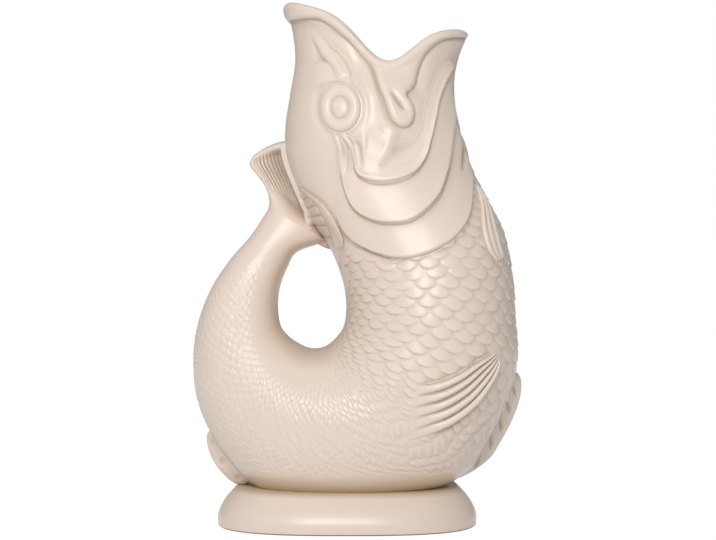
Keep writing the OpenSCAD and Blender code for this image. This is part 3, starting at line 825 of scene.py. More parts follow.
@dataclass
class Body:
    """Shell of the fish: head, breast, belly, tail bend and tail riser, with their relief."""

    fish: Fish
    clay: Clay
    prints: Prints
    face: Face = Face()
    scales: Scales = Scales()
    # Groove on the neck under the side lobe
    wedge: Stroke = Stroke(((336, 226), (350, 241), (364, 249), (380, 256), (394, 260)), 0.0024, -0.0013)
    wedge_end: float = 8.6
    wedge_fade: float = 0.8
    # Stations where the sections meet, and the distance between rows in each section
    joints: tuple[float, ...] = (0.45, 6, 11, 16, 20.5, 25)
    steps: tuple[float, ...] = (0.00052, 0.00044, 0.00045, 0.00042, 0.00045)
    chamber: float = 24.3
    head_columns: int = HEAD_COLUMNS
    columns: int = 400
    ghost: int = 30
    inner_rows: int = 9
    samples: int = 400
    fewest: int = 8
    flank: float = 1.2
    scale_wash: float = 0.40

    def relief(self, s: Array, angle: Array) -> Array:
        """Height of all relief over the skin.

        Args:
            s: Stations.
            angle: Angles from the front.

        Returns:
            Heights, rows by columns.
        """
        base = self.fish.skin(s, angle)
        total = self.scales.height(self.fish, s, angle, base[..., 2]) + self.face.over(self.fish, s, base)
        wedge = self.wedge.height(self.fish.in_view(base))
        return total + wedge * (1 - ease((s - self.wedge_end) / self.wedge_fade))

    def places(self, start: float, stop: float, step: float) -> Array:
        """Spreads stations evenly along the middle of the flank.

        Args:
            start: First station.
            stop: Last station.
            step: Distance between two of them.

        Returns:
            Stations from start to stop.
        """
        fine = np.linspace(start, stop, self.samples)
        way = way_along(self.fish.skin(fine, self.flank))
        count = max(self.fewest, round(way[-1] / step))
        return np.interp(np.linspace(0, way[-1], count + 1), way, fine)

    def outside(self, start: float, stop: float, step: float, columns: int) -> tuple[Array, Array]:
        """Outer face of a section.

        Args:
            start: First station.
            stop: Last station.
            step: Distance between rows.
            columns: Points in a row.

        Returns:
            Points, and their hollow and ridge, which run on past the joints with the neighbours.
        """
        places = self.places(start, stop, step)
        before = places[0] - (places[1] - places[0]) * np.arange(self.ghost, 0, -1)
        after = places[-1] + (places[-1] - places[-2]) * np.arange(1, self.ghost + 1)
        rows = np.clip(np.concatenate([before, places, after]), 0, self.joints[-1])
        s, a = np.meshgrid(rows, turns(columns), indexing="ij")
        height = self.relief(s, a)
        points = self.fish.raised(s, a, height)
        points[..., 2] = np.maximum(points[..., 2], self.fish.foot_height)
        kept = slice(self.ghost, -self.ghost)
        points = points[kept]
        marked = np.maximum(height, self.prints.height(rows, columns))
        scales = self.scales.height(self.fish, s, a, self.fish.skin(s, a)[..., 2])
        # Painted shade, with pooled glaze, along the sprigs' borders and in the relief's creases, and less of
        # it in the scales' own creases
        own, printed, scaled = (crease_shading(field, spacing(points), True) for field in (height, marked, scales))
        hollow = printed[..., 0] - scaled[..., 0] * self.scale_wash * (marked <= height)
        shade = np.stack([np.clip(hollow, 0, 1), own[..., 1]], -1)
        return points, shade[kept]

    def inside(self, start: float, stop: float, columns: int) -> Array:
        """Inner face of a section, one wall under the skin."""
        s, a = np.meshgrid(np.linspace(start, stop, self.inner_rows), turns(columns), indexing="ij")
        return self.fish.skin(s, a, -self.fish.wall)

    def shell(self, name: str, section: int, columns: int) -> bpy.types.Object:
        """Makes an open section of the shell, with its wall.

        Args:
            name: Name of the section.
            section: Its number from the lip.
            columns: Points in a row.

        Returns:
            The new object.
        """
        start, stop = self.joints[section:section + 2]
        points, shade = self.outside(start, stop, self.steps[section], columns)
        inside = self.inside(stop, start, columns)
        shade = np.concatenate([shade, np.zeros((*inside.shape[:2], 2))])
        return self.clay.tube(name, np.concatenate([points, inside]), shade, ring=True)

    def riser(self, name: str) -> bpy.types.Object:
        """Makes the top section of the tail, closed over its air chamber.

        Args:
            name: Name of the section.

        Returns:
            The new object.
        """
        start, stop = self.joints[-2:]
        points, shade = self.outside(start, stop, self.steps[-1], self.columns)
        inside = self.inside(self.chamber, start, self.columns)
        ends = [np.broadcast_to(ring.mean(0), ring.shape)[None] for ring in (points[-1], inside[0])]
        rows = np.concatenate([points, *ends, inside])
        shade = np.concatenate([shade, np.zeros((len(rows) - len(shade), self.columns, 2))])
        return self.clay.tube(name, rows, shade, ring=True)

    def build(self) -> Pieces:
        """Makes every section of the shell.

        Returns:
            The objects, by the node that each replaces.
        """
        return {
            "head_shell": self.shell("head_glazed", 0, self.head_columns),
            "breast_shell": self.shell("breast_glazed", 1, self.columns),
            "belly_shell": self.shell("belly_glazed", 2, self.columns),
            "tail_bend": self.shell("tail_bend_glazed", 3, self.columns),
            "tail_riser": self.riser("tail_riser_glazed"),
        }


@dataclass
class Rim:
    """Rolled lip with the spout, the upper jaw and the saddle between them."""

    fish: Fish
    clay: Clay
    face: Face = Face()
    rise: float = 0.0034
    columns: int = HEAD_COLUMNS
    rows: int = 57
    ghost: int = 14
    ghost_step: float = 0.025
    outer_rows: int = 40
    shade_rows: int = 24
    shade_fade: float = 14.0
    top: float = 0.05
    section: tuple[tuple[float, float, float, float], ...] = (
        (0.45, 1, 0, 0), (0.28, 1, 0, 0), (0.08, 1, 0, 0), (0, 0.95, 0, 0.4), (0, 0.45, 0.06, 0.84),
        (0, 0, 0.4, 1), (0, 0, 0.85, 0.65), (0.1, 0, 1.05, 0), (0.45, 0, 1, 0))

    def build(self) -> Pieces:
        """Makes the lip, from its section: station, share of the relief, place in the wall and rise.

        Returns:
            The object, by the node that it replaces.
        """
        joint = self.section[0][0]
        rows = whole(self.section, self.rows)
        rows[:, 0] = np.clip(rows[:, 0], 0, joint)
        before = np.array([[joint + self.ghost_step * step, 1, 0, 0] for step in range(self.ghost, 0, -1)])
        rows = np.concatenate([before, rows])
        s, turn = np.meshgrid(rows[:, 0], turns(self.columns), indexing="ij")
        base = self.fish.skin(s, turn, -rows[:, 2:3] * self.fish.wall)
        base[..., 2] += rows[:, 3:] * self.rise
        relief = self.face.height(self.fish.in_view(base))
        height = relief * np.clip(rows[:, 1:2], 0, 1)
        points = base + self.fish.normal(np.maximum(s, self.top), turn) * height[..., None]
        # Painted shade with pooled glaze in the lip's creases, and paler ridges, from the face's relief
        shade = crease_shading(relief, spacing(points[self.ghost:self.ghost + self.outer_rows]), True)
        inner = (np.arange(len(rows)) - self.ghost - self.shade_rows) / self.shade_fade
        shade *= 1 - ease(inner)[:, None, None]
        points, shade = points[self.ghost:], shade[self.ghost:]
        return {"mouth_rim": self.clay.tube("lip_glazed", points, shade, ring=True)}


@dataclass
class Foot:
    """Oval pedestal ring under the belly."""

    clay: Clay
    height: float = 0.018
    length: float = 0.124
    width: float = 0.092
    wall: float = 0.008
    waist: float = 0.0093
    power: float = 0.73
    columns: int = 320
    outer_rows: int = 43
    inner_rows: int = 19
    # Top of the foot under the belly, where tan is painted, partly pooled glaze and partly painted shade, and
    # its weight
    pool_and_shade_start: float = 0.86
    pool_and_shade: float = 0.8
    outside: Line = (
        (0, 0.06), (0.04, 0.01), (0.25, 0), (0.45, 0.13), (0.65, 0.37), (0.85, 0.7), (1, 1))
    inside: Line = ((1, 2.9), (0.8, 1.9), (0.55, 1.25), (0, 1))

    def build(self) -> Pieces:
        """Makes the foot, from its section: share of the height and place in from the outline.

        Returns:
            The object, by the node that it replaces.
        """
        faces = ((self.outside, self.waist, self.outer_rows), (self.inside, self.wall, self.inner_rows))
        rows = []
        for table, inset, count in faces:
            fine = whole(table, count)
            rows.append(np.stack([np.clip(fine[:, 0], 0, 1) * self.height, fine[:, 1] * inset], -1))
        rows = np.concatenate(rows)
        angle = turns(self.columns)
        x = (self.length / 2 - rows[:, 1:]) * oval(np.cos(angle), self.power)
        y = (self.width / 2 - rows[:, 1:]) * oval(np.sin(angle), self.power)
        z = rows[:, :1] + 0 * x
        # Tan on the foot's top under the belly: pooled glaze and painted shade
        top = (z - self.height * self.pool_and_shade_start) / (self.height * (1 - self.pool_and_shade_start))
        shade = np.stack([ease(top) * self.pool_and_shade, 0 * z], -1)
        return {"foot": self.clay.tube("foot_glazed", np.stack([x, y, z], -1), shade, ring=True)}


@dataclass
class Sprig:
    """Relief pressed in a mould and luted on to one flank."""

    fish: Fish
    clay: Clay
    body: Body
    name: str
    rows: tuple[Line, ...]
    rise: float
    under: float = 0.0009
    root: float = 0.0006
    edge: float = 0.0010
    blunt: float = 4.0
    print_share: float = 1.0
    print_least: float = 0.0003
    count: int = 90
    across: int = 60

    def spread(self) -> Array:
        """Places across the sprig, from 0 to the number of its bands."""
        return ends_dense(self.across)

    def profile(self, t: Array, q: Array) -> Array:
        """Height over the skin, as a share of the rise, at share t of the length and q across."""
        return np.ones_like(t * q)

    def border(self, base: Array) -> Array:
        """Rounded border.

        Args:
            base: Grid of points.

        Returns:
            0 on the edge of the grid and 1 inside it.
        """
        width = np.linalg.norm(np.diff(base, axis=1), axis=-1).cumsum(1)
        width = np.concatenate([np.zeros((len(base), 1)), width], 1)
        length = way_along(base[:, base.shape[1] // 2])
        ends = np.minimum(length, length[-1] - length)[:, None]
        return rounded(np.minimum(ends, np.minimum(width, width[:, -1:] - width)), self.edge)

    def rooted(self, height: Array, base: Array) -> Array:
        """Heights that sink under the skin along the border."""
        return (height + self.under) * self.border(base) - self.under

    def height(self, t: Array, q: Array, base: Array) -> Array:
        """Height over the skin's own relief, at share t of the length and q across."""
        return self.rooted(self.rise * self.profile(t, q) * swelling(t, self.blunt), base)

    def places(self) -> tuple[Array, Array, Array, Array]:
        """Lays the sprig on the left flank.

        Returns:
            Share of the length, place across, station and angle of each point.
        """
        table = np.array(self.rows, float)
        t, q = ends_dense(self.count), self.spread()
        edges = smooth_rows(table, t * (len(table) - 1))
        i = np.clip(np.floor(q).astype(int), 0, table.shape[1] - 2)
        share = edges[:, i] + (edges[:, i + 1] - edges[:, i]) * (q - i)[None, :, None]
        return t[:, None], q[None, :], *self.fish.seen(share)

    def build(self) -> Pieces:
        """Makes the sprig on both flanks.

        Returns:
            The objects, by the node that each replaces.
        """
        t, q, s, angle = self.places()
        base, normal = self.fish.skin(s, angle), self.fish.normal(s, angle)
        height = self.height(t, q, base)
        # Leaves its print on the skin, where shade is painted along its border
        self.body.prints.press(s, angle, np.maximum(height - self.print_least, 0) * self.print_share)
        relief = self.body.face.over(self.fish, s, base)
        # Painted shade with pooled glaze in the sprig's creases, and paler ridges
        shade = crease_shading(np.maximum(height, 0) + relief, spacing(base), False)
        height = height + relief
        low = base - normal * (self.under + self.root)
        return self.clay.pair(self.name, base + normal * height[..., None], low, shade)


@dataclass
class RibbedFin(Sprig):
    """Fin of rounded ribs that run from its root to its free end."""

    ribs: int = 5
    rib_power: float = 0.75
    valley: float = 0.30
    tail: float = 0.10

    def profile(self, t: Array, q: Array) -> Array:
        """Ribs across the fin, that sink into the skin at its free end."""
        wave = ribbed(q, self.ribs, self.rib_power)
        return (self.valley + (1 - self.valley) * wave) * ease((1 - t) / self.tail)


@dataclass
class Fold(Sprig):
    """Fold of the face that lies on the head as a thin skin and follows its relief."""

    sink: float = 0.0003
    start: float = 0.4
    stop: float = 0.2
    both_ends: bool = False

    def height(self, t: Array, q: Array, base: Array) -> Array:
        """Thin cover that sinks into the head at its start, or at both ends.

        Args:
            t: Share of the length.
            q: Place across.
            base: Points on the skin.

        Returns:
            Heights, rows by columns.
        """
        swell = ease(t / self.start)
        if self.both_ends:
            swell = swell * ease((1 - t) / self.stop)
        return self.rooted((self.rise + self.sink) * swell - self.sink, base)


@dataclass
class GillPlates(Sprig):
    """Three gill plates that overlap in steps and grow softly out of the cheek."""

    steps: Line = (
        (0, 0), (0.35, 0.10), (0.7, 0.48), (0.92, 0.93), (1, 1.0), (1 + 1e-6, 0.50), (1.5, 0.70),
        (1.9, 0.95), (2, 0.95), (2 + 1e-6, 0.42), (2.5, 0.65), (3, 0.86))
    drops: Line = ((1, 0.50), (2, 0.42))
    lip: float = 0.060
    fade_places: tuple[float, ...] = (0.9, 1.02, 1.9, 2.02)
    fades: tuple[float, ...] = (0.30, 0.16, 0.16, 0.26)
    start: float = 0.10
    sink: float = 0.0002
    sunk: float = 0.2
    even_share: float = 0.8
    even_count: int = 15
    crowd: tuple[float, ...] = (0.15, 0.12, 0.095, 0.075, 0.058, 0.043, 0.031, 0.021, 0.013, 0.007, 0.002)

    def spread(self) -> Array:
        """Places across the plates, crowded at each plate's edge."""
        one = np.concatenate([np.linspace(0, self.even_share, self.even_count), 1 - np.array(self.crowd)])
        return np.concatenate([one, 1 + one, 2 + one, [3.0]])

    def border(self, base: Array) -> Array:
        """Rounded border along the outer edge alone, since the other edges sink into the cheek."""
        width = np.linalg.norm(np.diff(base, axis=1), axis=-1)[:, ::-1].cumsum(1)[:, ::-1]
        return rounded(np.concatenate([width, np.zeros((len(base), 1))], 1), self.edge)

    def profile(self, t: Array, q: Array) -> Array:
        """Steps down from the inner plate to the outer one, each with a rounded lip.

        Args:
            t: Share of the length.
            q: Place across, from 0 at the cheek to 3 at the outer edge.

        Returns:
            Heights as shares of the rise.
        """
        level = np.interp(q, [place for place, _ in self.steps], [share for _, share in self.steps])
        for edge, below in self.drops:
            gap = np.where(q < edge, edge - q, FAR)
            level = np.where(gap < self.lip, below + (level - below) * edge_round(gap, self.lip), level)
        return level * (1 + 0 * t)

    def height(self, t: Array, q: Array, base: Array) -> Array:
        """Height over the skin's own relief, sunk a little at both ends and along the cheek.

        Args:
            t: Share of the length.
            q: Place across.
            base: Points on the skin.

        Returns:
            Heights, rows by columns.
        """
        fade = np.interp(q, self.fade_places, self.fades)
        swell = ease((1 - t) / fade) * edge_round(t, self.start)
        sink = self.sink * (1 - ease(q / self.sunk) * swell)
        return self.rooted(self.rise * self.profile(t, q) * swell - sink, base)


@dataclass
class Eye:
    """Eyeball in its ring."""

    fish: Fish
    clay: Clay
    prints: Prints
    face: Face = Face()
    middle: tuple[float, float] = (-0.020, 0.799)
    length: float = 0.0200
    height: float = 0.0237
    rise: float = 0.0025
    section: Line = (
        (0, 0.84), (0.15, 0.81), (0.30, 0.68), (0.385, 0.48), (0.42, 0.32), (0.46, 0.36), (0.53, 0.58),
        (0.64, 0.76), (0.76, 0.78), (0.88, 0.58), (0.96, 0.22), (1, -0.30))
    columns: int = 120
    outer_rows: int = 67
    under_rows: int = 5
    print_share: float = 0.4
    pool_and_shade: float = 0.7

    def build(self) -> Pieces:
        """Makes both eyes, from their section: share of the radius and share of the rise.

        Returns:
            The objects, by the node that each replaces.
        """
        fine = whole(self.section, self.outer_rows)
        fine[:, 0] = np.clip(fine[:, 0], 0, 1)
        sunk = np.full(self.under_rows, self.section[-1][1])
        low = np.stack([np.linspace(1, 0, self.under_rows), sunk], -1)
        rows = np.concatenate([fine, low[1:]])
        angle = turns(self.columns)
        x = self.middle[0] + rows[:, :1] * np.cos(angle) * self.length / (2 * self.fish.length)
        z = self.middle[1] + rows[:, :1] * np.sin(angle) * self.height / (2 * self.fish.height)
        s, turn = self.fish.seen(np.stack([x, z], -1))
        height = rows[:, 1:] * self.rise + 0 * x
        relief = self.face.height(self.fish.in_view(self.fish.skin(s, turn)))
        points = self.fish.raised(s, turn, height + relief)
        outer = slice(0, self.outer_rows)
        self.prints.press(s[outer], turn[outer], np.maximum(height[outer], 0) * self.print_share)
        # Painted shade with pooled glaze in the eye's creases, and paler ridges, weighted down for the eye
        shade = crease_shading(np.maximum(height, 0), spacing(points[outer]), True)
        shade = shade * (np.arange(len(rows)) < self.outer_rows)[:, None, None] * self.pool_and_shade
        made = {}
        for side in Side:
            label = f"eye_{side.name.lower()}"
            made[label] = self.clay.tube(f"{label}_glazed", points * np.array([1, side.value, 1]), shade)
        return made


@dataclass
class TailFin:
    """Free lobe of the tail fin behind the head: a ribbed hollow in a smooth rolled rim.

    Its places are shares t of its height, from the tail up, and v of its chord, from the free
    edge to the back of the head.
    """

    fish: Fish
    clay: Clay
    free_edge: Line = (
        (-0.239, 0.602), (-0.235, 0.620), (-0.246, 0.645), (-0.272, 0.669), (-0.294, 0.688), (-0.285, 0.706))
    stations: tuple[float, float] = (7.72, 4.5)
    seat: float = -0.0006
    tall: float = 0.036
    # Hollow, its ribs and the lip round it
    edge: float = 0.0024
    edge_share: float = 0.07
    edge_least: float = 0.45
    hollow: float = 0.0030
    hollow_fall: float = 0.35
    valley: float = 0.62
    deepest: float = 0.004
    ribs: int = 7
    rib_power: float = 0.8
    rib_start: float = 0.30
    rib_fade: float = 0.35
    fan_start: float = 0.18
    fan: float = 0.66
    fan_fade: float = 0.08
    lip_top: float = 0.0024
    lip_top_fade: float = 0.0036
    lip_edge: float = 0.05
    lip_edge_fade: float = 0.09
    lip_back: float = 0.79
    lip_back_fade: float = 0.075
    back_power: float = 1.6
    # Band that lies on the back of the head
    band: float = math.radians(12)
    band_rise: float = 4
    band_start: float = 0.86
    band_step: float = 0.01
    band_columns: int = 14
    band_share: float = 0.96
    count: int = 110
    across: int = 120
    crowding: float = 0.2
    # Root, which carries on the tail's end
    tip: float = 25.0
    below: float = 0.3
    lean_fade: float = 0.4
    grow_edge: float = 0.58
    grow_back: float = 0.3
    arch: float = 0.0014
    arch_start: float = 0.5
    least: float = 0.0005
    thinnest: float = 0.00012
    root_half: float = 0.0003
    inner_angle: float = math.radians(179)
    # Painted shade in the hollow, darker towards the head, and the weight of pooled glaze and painted shade
    # in its creases
    pool_and_shade: float = 0.9
    recess_shade_edge: float = 0.35
    recess_shade_back: float = 0.75
    recess_shade_reach: float = 0.75
    recess_shade_fade: float = 0.25
    recess_shade_gain: float = 0.17

    def thickness(self, t: Array, v: Array, band: Array) -> tuple[Array, Array]:
        """Thickness of the fin above its root.

        Args:
            t: Share of the height.
            v: Share of the chord.
            band: Half thickness of the back's band, where it lies on the head.

        Returns:
            Half thickness, and how hollow the fin is, from 0 to 1.
        """
        fan = (v - self.fan_start) / self.fan
        wave = ribbed(np.clip(fan, 0, 1), self.ribs, self.rib_power)
        wave = wave * ease((t - self.rib_start) / self.rib_fade) * ease(fan / self.fan_fade)
        floor = self.hollow * (1 - self.hollow_fall * fan) * (self.valley + (1 - self.valley) * wave)
        rim = self.edge + (band - self.edge) * np.clip(v, 0, 1) ** self.back_power
        top = (1 - t) * self.tall
        open_top = ease((top - self.lip_top) / self.lip_top_fade)
        open_edge = ease((v - self.lip_edge) / self.lip_edge_fade)
        inside = open_top * open_edge * (1 - ease((v - self.lip_back) / self.lip_back_fade))
        half = floor + (np.maximum(rim, floor) - floor) * (1 - inside)
        edge = self.edge_least + (1 - self.edge_least) * rounded(v, self.edge_share)
        half = half * rounded(top, self.edge) * edge
        return half, inside * np.clip((rim - floor) / self.deepest, 0, 1)

    def root_bulge(self, t: Array, v: Array) -> tuple[Array, Array]:
        """Shape of the root, which carries on the tail's oval end.

        Args:
            t: Share of the height.
            v: Share of the chord.

        Returns:
            Place of the tail's end, and half thickness.
        """
        _, root, half_w, _ = self.fish.station(np.array(self.tip))
        _, below, half_b, _ = self.fish.station(np.array(self.tip - self.below))
        lean = float((half_w - half_b) / np.linalg.norm(root - below))
        c = oval(np.abs(1 - 2 * v), 1 / self.fish.power)
        bulge = oval(np.sqrt(np.clip(1 - c * c, 0, 1)), self.fish.power)
        carried = lean * self.tall * t * (1 - ease(t / self.lean_fade)) * bulge
        return root, np.maximum(self.least, half_w * bulge) + carried

    def build(self) -> Pieces:
        """Makes the fin.

        Returns:
            The object, by the node that it replaces.
        """
        t = ends_dense(self.count)[:, None]
        seated = np.linspace(self.band_step, 1 - self.band_start, self.band_columns) + self.band_start
        free = ends_dense(self.across, self.crowding) * self.band_start
        v = np.concatenate([free, seated])[None, :]
        root, round_half = self.root_bulge(t, v)
        size = np.array([self.fish.length, self.fish.height])
        start = smooth_rows(np.array(self.free_edge), t[:, 0] * (len(self.free_edge) - 1)) * size
        s = self.stations[0] + (self.stations[1] - self.stations[0]) * t[:, 0]
        stop = np.where(t > 0, self.fish.skin(s, np.pi, self.seat)[:, [0, 2]], root)
        band = self.fish.skin(s, np.pi - self.band * ease(self.band_rise * t[:, 0]), self.seat)
        half, deep = self.thickness(t, v, band[:, 1:2] * self.band_share)
        grown = ease(t / (self.grow_edge - self.grow_back * v))
        thick = np.maximum(round_half * (1 - grown) + half * grown, self.thinnest)
        place = start[:, None] + (stop - start)[:, None] * v[..., None]
        place[..., 1] += self.arch * np.sin(np.pi * v) * ease((t - self.arch_start) / (1 - self.arch_start))
        left = np.stack([place[..., 0], thick, place[..., 1]], -1)
        end = np.array([root[0], self.root_half, root[1]])
        inner = np.where(t > 0, self.fish.skin(s, self.inner_angle, self.seat), end)
        left = np.concatenate([left, inner[:, None]], axis=1)
        # Painted shade in the hollow and its creases, darker towards the head and faded out near the root
        shade = crease_shading(thick, spacing(left), False)
        recess_shade = deep * grown * (self.recess_shade_edge + self.recess_shade_back * ease(v / self.recess_shade_reach))
        shade[..., 0] = np.clip(shade[..., 0] * self.pool_and_shade + recess_shade, 0, 1)
        shade = shade * ease(t / (self.recess_shade_fade - self.recess_shade_gain * v))[..., None]
        return {"tail_fin": self.close(left, np.concatenate([shade, shade[:, -1:]], axis=1))}

    def close(self, left: Array, shade: Array) -> bpy.types.Object:
        """Closes the fin over both of its faces.

        Args:
            left: Points of its left face.
            shade: Their hollow and ridge.

        Returns:
            The new object.
        """
        rows = np.concatenate([left, (left * np.array([1, -1, 1]))[:, ::-1]], axis=1)
        shade = np.concatenate([shade, shade[:, ::-1]], axis=1)
        middle = rows * np.array([1, 0, 1])
        rows = np.concatenate([middle[:1], rows, middle[-1:]])
        shade = np.concatenate([shade[:1], shade, shade[-1:]])
        return self.clay.tube("tail_fin_glazed", rows, shade)


@dataclass
class SideLobe:
    """Ribbed fan on each side of the neck, with a thick pale rim, that closes the hole's top.

    Its places are shares v of its height, from the top down, and u of its width, from the root
    at the tail to the rim on the neck.
    """

    fish: Fish
    clay: Clay
    prints: Prints
    root: Line = (
        (298, 193), (301, 204), (303, 214), (304, 223), (306, 232), (310, 241))
    rim: Line = (
        (301, 189), (313, 195.5), (325.5, 206), (335, 220), (342.5, 235), (347, 250))
    # Ribs and rolled rim
    rise: float = 0.0030
    ribs: int = 6
    rib_power: float = 1.1
    web: float = 0.04
    rib_share: float = 0.40
    rib_start: float = 0.3
    rib_end: float = 0.60
    rib_fade: float = 0.10
    roll: float = 0.88
    roll_width: float = 0.17
    roll_start: float = 0.06
    roll_end: float = 0.10
    # Form, blended from the neck's skin into the tail's flank
    sag: float = 0.0016
    sag_start: float = 0.7
    sag_fade: float = 0.3
    depth: float = 0.0088
    depth_end: float = -0.0190
    depth_fade: float = 0.0080
    blend: float = 0.0016
    tall: float = 0.030
    wide: float = 0.016
    edge: float = 0.0011
    under: float = 0.0009
    # Borders, which sink into the neck but keep their height at the tail
    keep_start: float = 0.2
    keep_end: float = 0.93
    keep_fade: float = 0.07
    least: float = 0.0004
    body: float = 0.004
    inmost: float = 0.0003
    # Painted shade round the lobe on the skin and in its hollow
    print_share: float = 0.25
    print_edge: float = 0.001
    recess_shade: float = 0.28
    recess_shade_end: float = 0.58
    recess_shade_fade: float = 0.1
    count: int = 130
    crowding: float = 0.4
    across: int = 80
    across_crowding: float = 0.5

    def line(self, points: Line, v: Array) -> Array:
        """Places in the view plane down a line of points."""
        return to_view(smooth_rows(np.array(points, float), v[:, 0] * (len(points) - 1)))[:, None]

    def relief(self, v: Array, u: Array) -> Array:
        """Ribs and rolled rim.

        Args:
            v: Share of the height.
            u: Share of the width.

        Returns:
            Heights over the lobe's form.
        """
        wave = ribbed(v, self.ribs, self.rib_power)
        ribs = self.rib_share * wave * ease(u / self.rib_start)
        ribs = ribs * (1 - ease((u - self.rib_end) / self.rib_fade))
        roll = np.exp(-np.abs((u - self.roll) / self.roll_width) ** 3)
        roll = roll * ease(v / self.roll_start) * ease((1 - v) / self.roll_end)
        return self.rise * np.maximum(self.web + ribs, roll)

    def build(self) -> Pieces:
        """Makes both lobes.

        Returns:
            The objects, by the node that each replaces.
        """
        v = ends_dense(self.count, self.crowding)[:, None]
        u = ends_dense(self.across, self.across_crowding)[None, :]
        root, rim = self.line(self.root, v), self.line(self.rim, v)
        view = root + (rim - root) * u[..., None]
        view[..., 1] -= self.sag * np.sin(np.pi * u) ** 2 * ease((v - self.sag_start) / self.sag_fade)
        s, angle = self.fish.seen(view / np.array([self.fish.length, self.fish.height]))
        skin = self.fish.skin(s, angle)[..., 1]
        tail = self.depth * (1 - ease((view[..., 0] - self.depth_end) / self.depth_fade))
        side = np.log(np.exp(skin / self.blend) + np.exp(tail / self.blend)) * self.blend
        height = self.relief(v, u)
        gap = np.minimum(np.minimum(v, 1 - v) * self.tall, np.minimum(u, 1 - u) * self.wide)
        edge = rounded(gap, self.edge)
        kept = (1 - edge) * side * ease(u / self.keep_start) * ease((self.keep_end - v) / self.keep_fade)
        high_y = np.maximum((side + height + self.under) * edge - self.under + kept, self.least)
        low_y = np.maximum(np.minimum(high_y - self.least, side - self.body), self.inmost)
        near = 1 - high_y / self.fish.camera_distance
        eye = np.array([self.fish.camera_x, self.fish.camera_z])
        flat = eye + (view - eye) * near[..., None]
        high, low = (np.stack([flat[..., 0], y, flat[..., 1]], -1) for y in (high_y, low_y))
        printed = np.maximum(height * edge, 0) * (skin > self.print_edge)
        self.prints.press(s, angle, printed * self.print_share)
        # Painted shade in the lobe's creases and in the hollow between its root and rim
        shade = crease_shading(height * edge, spacing(high), False)
        recess_shade = self.recess_shade * (1 - ease((u - self.recess_shade_end) / self.recess_shade_fade)) * ease(u / self.recess_shade_fade)
        shade[..., 0] = np.clip(shade[..., 0] + recess_shade, 0, 1)
        return self.clay.pair("tail_lobe", high, low, shade)


@dataclass
class Keel:
    """Ribbed fin on the centre line, with a smooth thick rim."""

    fish: Fish
    clay: Clay
    prints: Prints
    name: str
    stations: tuple[float, float]
    angle: float
    rise: float
    ribs: int
    slant: float = 0.0
    cut: float = 0.62
    # Painted shade in the grooves between the ribs
    recess_shade: float = 0.8
    taper: tuple[float, float] = (0.70, 0.62)
    taper_end: float = 0.98
    blunt: float = 4
    # Grooves between the ribs, on the flanks alone
    groove_power: int = 5
    groove_start: float = 0.34
    groove_start_fade: float = 0.08
    groove_end: float = 0.78
    groove_end_fade: float = 0.2
    sink: float = 0.0009
    root: float = 0.0012
    clearance: float = 0.0002
    print_most: float = 0.002
    pool_and_shade: float = 0.4
    step: float = 0.0004
    count: int = 190
    across: int = 40
    crowding: float = 0.4
    section: Line = (
        (0, 1), (0.12, 0.98), (0.26, 0.88), (0.38, 0.70), (0.50, 0.46), (0.64, 0.27), (0.80, 0.13),
        (1, -0.12))

    def build(self) -> Pieces:
        """Makes the keel, from its section: share of the half width and share of the rise.

        Returns:
            The object, by the node that it replaces.
        """
        t, half = ends_dense(self.count, self.crowding)[:, None], ends_dense(self.across, self.crowding)
        p = np.concatenate([-half[::-1], half[1:]])[None, :]
        out = np.abs(p)
        level = np.interp(out, [place for place, _ in self.section], [share for _, share in self.section])
        wave = (0.5 - 0.5 * np.cos(FULL_TURN * self.ribs * (t + self.slant * out))) ** self.groove_power
        flank = ease((out - self.groove_start) / self.groove_start_fade)
        flank = flank * (1 - ease((out - self.groove_end) / self.groove_end_fade))
        start, share = self.taper
        swell = swelling(t, self.blunt) * (1 - share * ease((t - start) / (self.taper_end - start)))
        height = self.rise * level * (1 - self.cut * flank * wave) * swell
        height = np.where((out >= 1) | (t <= 0) | (t >= 1), -self.sink, height)
        s = self.stations[0] + (self.stations[1] - self.stations[0]) * t + 0 * p
        turn = np.radians(-p * self.angle) + 0 * t
        high, low = (self.fish.raised(s, turn, lift) for lift in (height, -self.root + 0 * height))
        for sheet in (high, low):
            sheet[..., 2] = np.maximum(sheet[..., 2], self.fish.foot_height + self.clearance)
        self.prints.press(s, turn, np.clip(height, 0, self.print_most), flanks=False)
        # Painted shade with pooled glaze in the keel's creases, and a further painted shade in its grooves
        shade = crease_shading(np.maximum(height, 0), (self.step, self.step), False)
        shade[..., 0] = np.clip(shade[..., 0] * self.pool_and_shade + flank * wave * self.recess_shade, 0, 1)
        return {self.name: self.clay.pillow(f"{self.name}_glazed", high, low, shade)}


class Value:
    """Number from a node's socket, for maths written as expressions."""

    def __init__(self, kiln: "Kiln", socket: bpy.types.NodeSocket) -> None:
        """Wraps a socket of the node tree that the kiln makes."""
        self.kiln = kiln
        self.socket = socket

    def work(self, operation: str, *others: "Value | float") -> "Value":
        """Adds a Math node with this value first."""
        return self.kiln.maths(operation, self, *others)

    def __add__(self, other: "Value | float") -> "Value":
        """Sum."""
        return self.work("ADD", other)

    def __radd__(self, other: float) -> "Value":
        """Sum with a number first."""
        return self.work("ADD", other)

    def __sub__(self, other: "Value | float") -> "Value":
        """Difference."""
        return self.work("SUBTRACT", other)

    def __rsub__(self, other: float) -> "Value":
        """Difference with a number first."""
        return self.kiln.maths("SUBTRACT", other, self)

    def __mul__(self, other: "Value | float") -> "Value":
        """Product."""
        return self.work("MULTIPLY", other)

    def __rmul__(self, other: float) -> "Value":
        """Product with a number first."""
        return self.work("MULTIPLY", other)

    def clamp(self) -> "Value":
        """Holds the value between 0 and 1.

        Returns:
            The value held.
        """
        made = self.work("ADD", 0.0)
        made.socket.node.use_clamp = True
        return made


